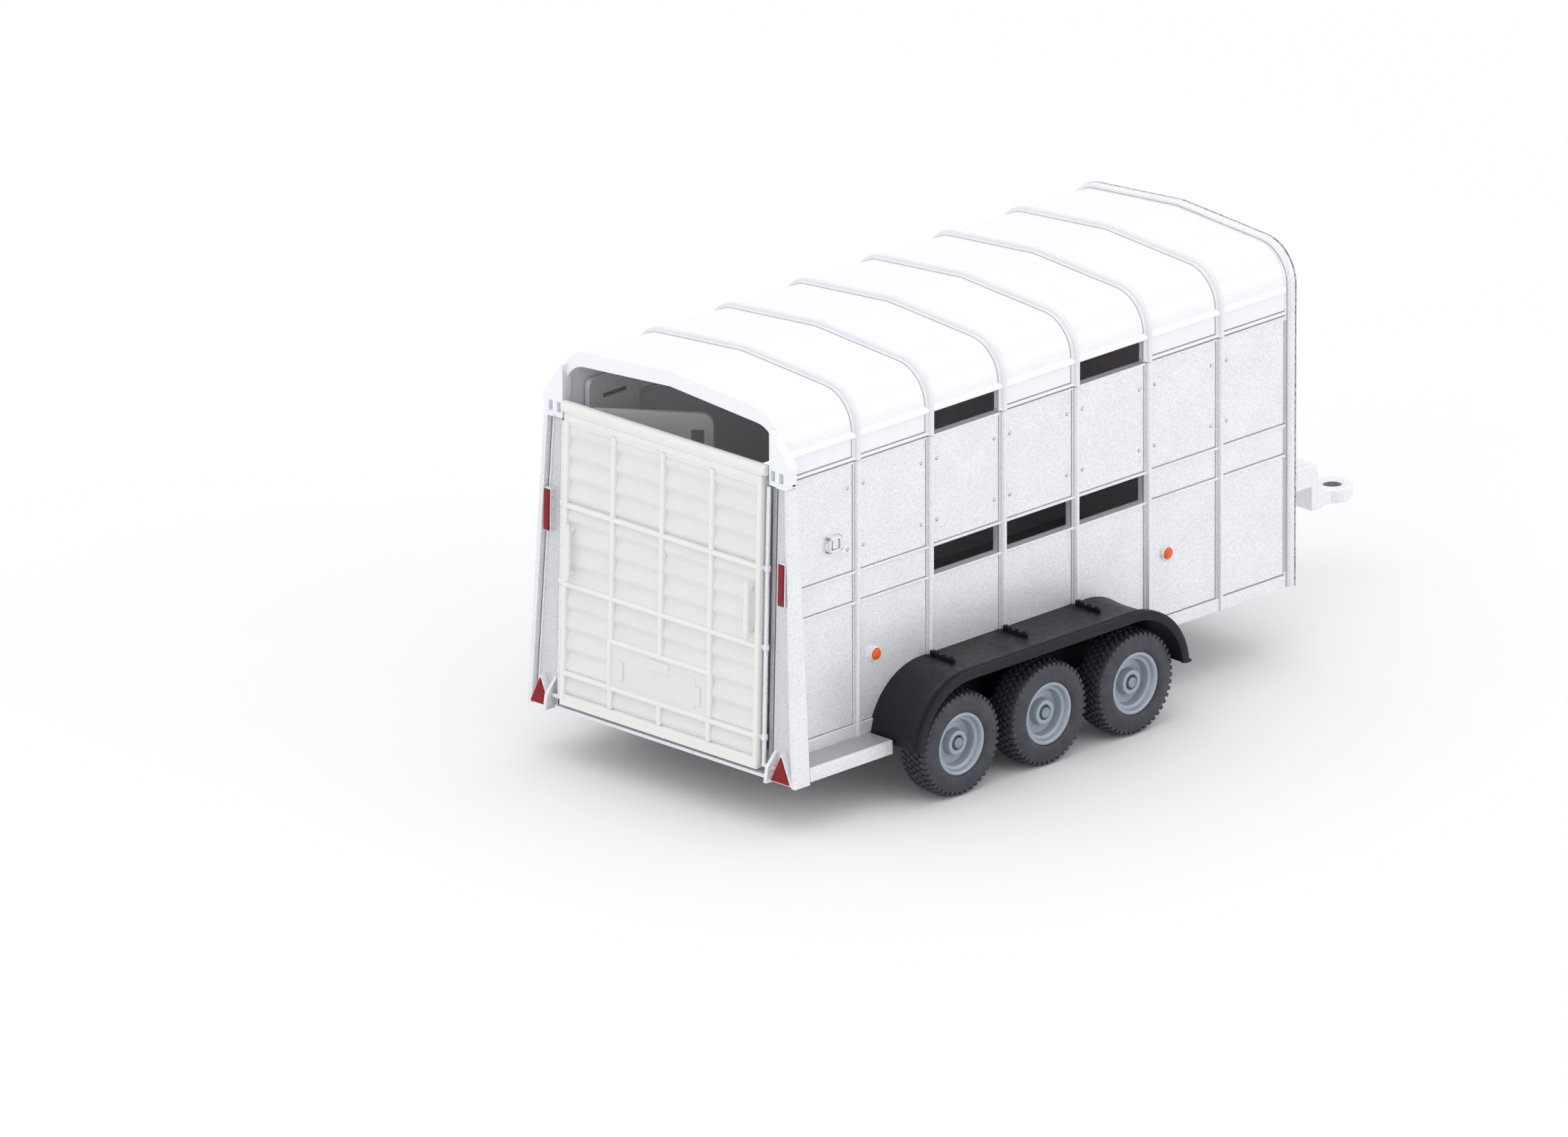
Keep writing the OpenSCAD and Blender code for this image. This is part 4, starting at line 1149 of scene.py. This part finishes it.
def tail_frame():
    """Bars and rails over a flat sheet, with cleats on its inner face."""
    gate = Shape(LEANING).block((SHEET_REAR, -GATE_HALF + 0.08, TAIL_FOOT + 0.1),
                                (SHEET_FRONT, GATE_HALF - 0.08, TAIL_TOP), 0.12)

    def bar(y, half, low, high, radius):
        gate.block((TAIL_FACE, y - half, low), (SHEET_REAR + 0.3, y + half, high), radius, 3)

    def rail(out, depth, inset, low, high, radius, segments=2):
        gate.block((TAIL_FACE + out, -GATE_HALF + inset, low),
                   (SHEET_REAR + depth, GATE_HALF - inset, high), radius, segments)

    for y in (-GATE_HALF + 0.58, GATE_HALF - 0.58):
        bar(y, 0.58, TAIL_FOOT + 0.05, TAIL_TOP, 0.36)
    for i in (-1, 0, 1):
        bar(i * TAIL_BAR_PITCH, 0.55, 1.2, TAIL_RAILS[0], 0.38)
        bar(i * TAIL_BAR_PITCH, 0.55, PLATE_TOP - 0.5, TAIL_TOP - 1.6, 0.38)
    for z in TAIL_RAILS:
        rail(-0.03, 0.35, 0.04, z - 0.5, z + 0.5, 0.36, 3)
    rail(0.2, 0.36, 0.03, TAIL_TOP - 1.5, TAIL_TOP - 0.02, 0.2)
    rail(0.5, 0.32, 0.06, TAIL_TOP - 2.3, TAIL_TOP - 1.2, 0.2)
    rail(0.04, 0.34, 0.02, TAIL_FOOT, TAIL_FOOT + 1.0, 0.18)
    rail(0.25, 0.31, 0.05, TAIL_FOOT + 0.8, TAIL_FOOT + 2.1, 0.2)
    cleat = Shape(LEANING).block((SHEET_FRONT - 0.1, -GATE_HALF + 1.6, 5),
                                 (SHEET_FRONT + 0.3, GATE_HALF - 1.6, 5.7), 0.14)
    gate.copies(cleat, ROW, "ivory_plastic", Count=CLEATS, Step=up_the_gate(CLEAT_PITCH))
    gate.piece("tailgate_panel", "ivory_plastic", "tailgate", stands_for=["tailgate_frame"])


def tail_sheet(start=0.9, wave=0.62, crest=0.32, steps=16):
    """Slats of the corrugated sheet: each swells from its foot to a crest near its top."""
    ring = [(SHEET_REAR + 0.2, start), (SHEET_REAR + 0.2, start + SLAT_PITCH)]
    for i in range(steps + 1):
        t = 1 - i / steps
        rise = t / crest if t < crest else (1 - t) / (1 - crest)
        swell = 0.65 * rise + 0.35 * (0.5 - 0.5 * math.cos(math.pi * rise))
        ring.append((SHEET_REAR - 0.04 - wave * swell, start + SLAT_PITCH * t))
    slat = Shape(LEANING).loft([[(x, y, z) for x, z in ring] for y in (-GATE_HALF + 0.4, GATE_HALF - 0.4)])
    # The slats take the darker ivory, painted shade against the brighter bars.
    sheet = Shape().copies(slat, ROW, "ivory_sheet", Count=SLATS, Step=up_the_gate(SLAT_PITCH))
    sheet.piece("tailgate_sheet", "ivory_sheet", "tailgate", "ivory_plastic", ["tailgate_frame"])


def tail_fittings():
    """Round top rail, plate holder, grips, and the rods that the tailgate turns on."""
    z, end = TAIL_TOP + TOP_RAIL_R, GATE_HALF + 0.7
    top = Shape(LEANING).rod((-0.35, -end, z), (-0.35, end, z), TOP_RAIL_R, 0.25, 28)
    top.block((TAIL_FACE, -GATE_HALF, TAIL_TOP - 0.02), (SHEET_FRONT - 0.4, GATE_HALF, z), 0.2)
    top.piece("tailgate_rail", "ivory_plastic", "tailgate", stands_for=["tailgate_top_rail"])

    face, low = SHEET_REAR - 0.98, TAIL_RAILS[0] + 0.5
    border = Shape(LEANING)
    border.block((face - 0.14, -PLATE_HALF, PLATE_TOP - 1.0), (SHEET_REAR, PLATE_HALF, PLATE_TOP), 0.34, 3)
    for y in (-PLATE_HALF + 0.56, PLATE_HALF - 0.56):
        border.block((face - 0.12, y - 0.5, low - 0.2), (SHEET_REAR - 0.05, y + 0.5, PLATE_TOP - 0.08),
                     0.34, 3)
    border.piece("plate_border", "ivory_plastic", "tailgate", stands_for=["number_plate_holder"])
    plate = Shape(LEANING)
    for out, y0, y1, z0, z1, radius in (
            (0.26, -PLATE_HALF + 0.1, PLATE_HALF - 0.1, low - 0.2, PLATE_TOP - 0.1, 0.16),
            (0.14, -9.2, 8.3, low + 0.7, PLATE_TOP - 2.4, 0.12),
            (-0.1, -10.6, -9.1, low + 1.6, low + 5.2, 0.18),
            (-0.1, 9.2, 10.7, low + 1.6, low + 5.2, 0.18),
            (-0.05, -2.6, 3.0, PLATE_TOP - 3.6, PLATE_TOP - 1.4, 0.2)):
        plate.block((face + out, y0, z0), (SHEET_REAR, y1, z1), radius)
    plate.piece("plate_holder", "ivory_sheet", "tailgate", "ivory_plastic", ["number_plate_holder"])

    grips = Shape(LEANING)
    rods = Shape(LEANING)
    x, y, z = SHEET_REAR - 1.85, GATE_HALF - 2.4, 23.6
    rod_r, rod_y = 0.42, HALF_WIDTH - 1.8
    grips.rod((x, y, z), (x, y, z + 10.8), 0.36, steps=16)
    grips.rod((x, y, z + 1.0), (x, y, z + 9.8), 0.55, 0.2, 16)
    for foot in (1.3, 9.5):
        grips.rod((x, y, z + foot), (SHEET_REAR + 0.1, y, z + foot), 0.38, 0.1, 16)
    grips.both().piece("tailgate_grips", "ivory_plastic", "tailgate", stands_for=["grab_handles"])
    rods.rod((0, rod_y, -0.2), (0, rod_y, POST_HEAD - 0.3), rod_r)
    rods.rod((0, rod_y - 0.36, 0), (0, HALF_WIDTH + 0.9, 0), rod_r)
    for z in TAIL_RAILS:
        rods.rod((0, rod_y, z - 0.62), (0, rod_y, z + 0.62), 0.62, 0.18)
        rods.block((-0.36, GATE_HALF - 0.1, z - 0.4), (0.36, rod_y, z + 0.4), 0.12)
    rods.both().piece("tailgate_side_rods", "silver_paint", "tailgate", stands_for=["tailgate_rods"])


tail_frame()
tail_sheet()
tail_fittings()

# ---------- lights ----------


def tail_lights():
    """Upright lamps and triangular reflectors on the corner posts."""
    housing, lens, lamp_shadow_outline, bezel, triangle = (Shape(LEANING) for _ in range(5))
    face, y = POST_FACE, HALF_WIDTH + 1.1
    housing.block((face - 1.2, y, 31), (face + 0.1, y + 1.8, 39.4), 0.2, 3)
    lens.block((face - 1.5, y + 0.25, 31.4), (face - 1.1, y + 1.55, 39), 0.16, 3)
    # Painted shadow: a dark outline round each lens, where the lamp's edge is in shade.
    lamp_shadow_outline.block((face - 1.26, y + 0.12, 31.2), (face - 1.0, y + 1.68, 39.2), 0.03, 1)
    y = HALF_WIDTH + 2.9
    bezel.prism([(y - 2.75, -2.5), (y + 2.75, -2.5), (y, 3.4)], "x", face - 1.3, face + 0.1, 0.16)
    triangle.prism([(y - 2.3, -2.22), (y + 2.3, -2.22), (y, 2.75)], "x", face - 1.6, face - 1.2, 0.1)
    housing.both().piece("tail_lamp_housings", "silver_paint", stands_for=["tail_light_housings"])
    lens.both().piece("tail_lamp_lenses", "red_lens", stands_for=["tail_light_lenses"])
    lamp_shadow_outline.both().piece("tail_lamp_shadow_outlines", "seam_dark", "trailer", "silver_paint")
    bezel.both().piece("triangle_bezels", "roof_white", stands_for=["triangle_housings"])
    triangle.both().piece("triangle_lenses", "red_lens", stands_for=["triangle_reflectors"])


def side_markers():
    """Round orange markers in silver cups, two a side."""
    cup, glass = Shape(), Shape()
    wall = [(1.42, -0.1), (1.42, 0.4), (1.34, 0.56), (1.2, 0.6), (1.08, 0.5), (1.02, 0.2), (1.02, -0.1)]
    dome = [(1.14, 0.1), (1.14, 0.56), (1.04, 0.76), (0.78, 0.88), (0.4, 0.96), (0.1, 0.98)]
    z = BODY_BASE + 14.8
    for x in (rib_x(1) + 4.75, rib_x(5) + 5.1):
        cup.turned([(r, HALF_WIDTH + y) for r, y in wall], x, z, 32)
        glass.domed(dome, x, z, 32)
    cup.both().piece("marker_cups", "silver_paint", stands_for=["side_marker_bases"])
    glass.both().piece("marker_lenses", "orange_lens", stands_for=["side_marker_lenses"])


tail_lights()
side_markers()

# ---------- floor and light ----------


def stage():
    reach = 6.0
    mesh = bpy.data.meshes.new("studio_floor")
    mesh.from_pydata([(-reach, -reach, 0), (reach, -reach, 0), (reach, reach, 0), (-reach, reach, 0)],
                     [], [(0, 1, 2, 3)])
    f = Finish("studio_floor_finish", 0.7, specular=0.2)
    f.paint(f.ramp(f.noise(400.0, 2.0), [(0.3, (0.875, 0.878, 0.876)), (0.7, (0.89, 0.893, 0.891))]))
    mesh.materials.append(f.material)
    floor = bpy.data.objects.new("studio_floor", mesh)
    bpy.context.scene.collection.objects.link(floor)


def softbox(name, place, aim, size, power):
    data = bpy.data.lights.new(name, "AREA")
    data.shape = "RECTANGLE"
    data.size, data.size_y = size
    data.energy = power
    lamp = bpy.data.objects.new(name, data)
    lamp.location = place
    lamp.rotation_euler = (Vector(aim) - Vector(place)).to_track_quat("-Z", "Y").to_euler()
    bpy.context.scene.collection.objects.link(lamp)


def surroundings(colour, strength):
    """Even light from all round, and plain colours in the picture."""
    world = bpy.data.worlds.new("studio")
    bpy.context.scene.world = world
    world.use_nodes = True
    glow = world.node_tree.nodes["Background"].inputs
    glow["Color"].default_value = (*colour, 1)
    glow["Strength"].default_value = strength
    bpy.context.scene.view_settings.view_transform = "Standard"


stage()
softbox("overhead", (-0.1, 0.2, 1.3), (0, 0, 0.05), (2.2, 2.2), 6.6)
softbox("rear_fill", (-1.5, -0.4, 0.7), (0, 0, 0.04), (1.0, 0.8), 1.6)
softbox("side_fill", (0.9, -1.5, 0.6), (0, 0, 0.04), (1.2, 0.8), 3.5)
surroundings((0.975, 0.975, 1.0), 0.93)
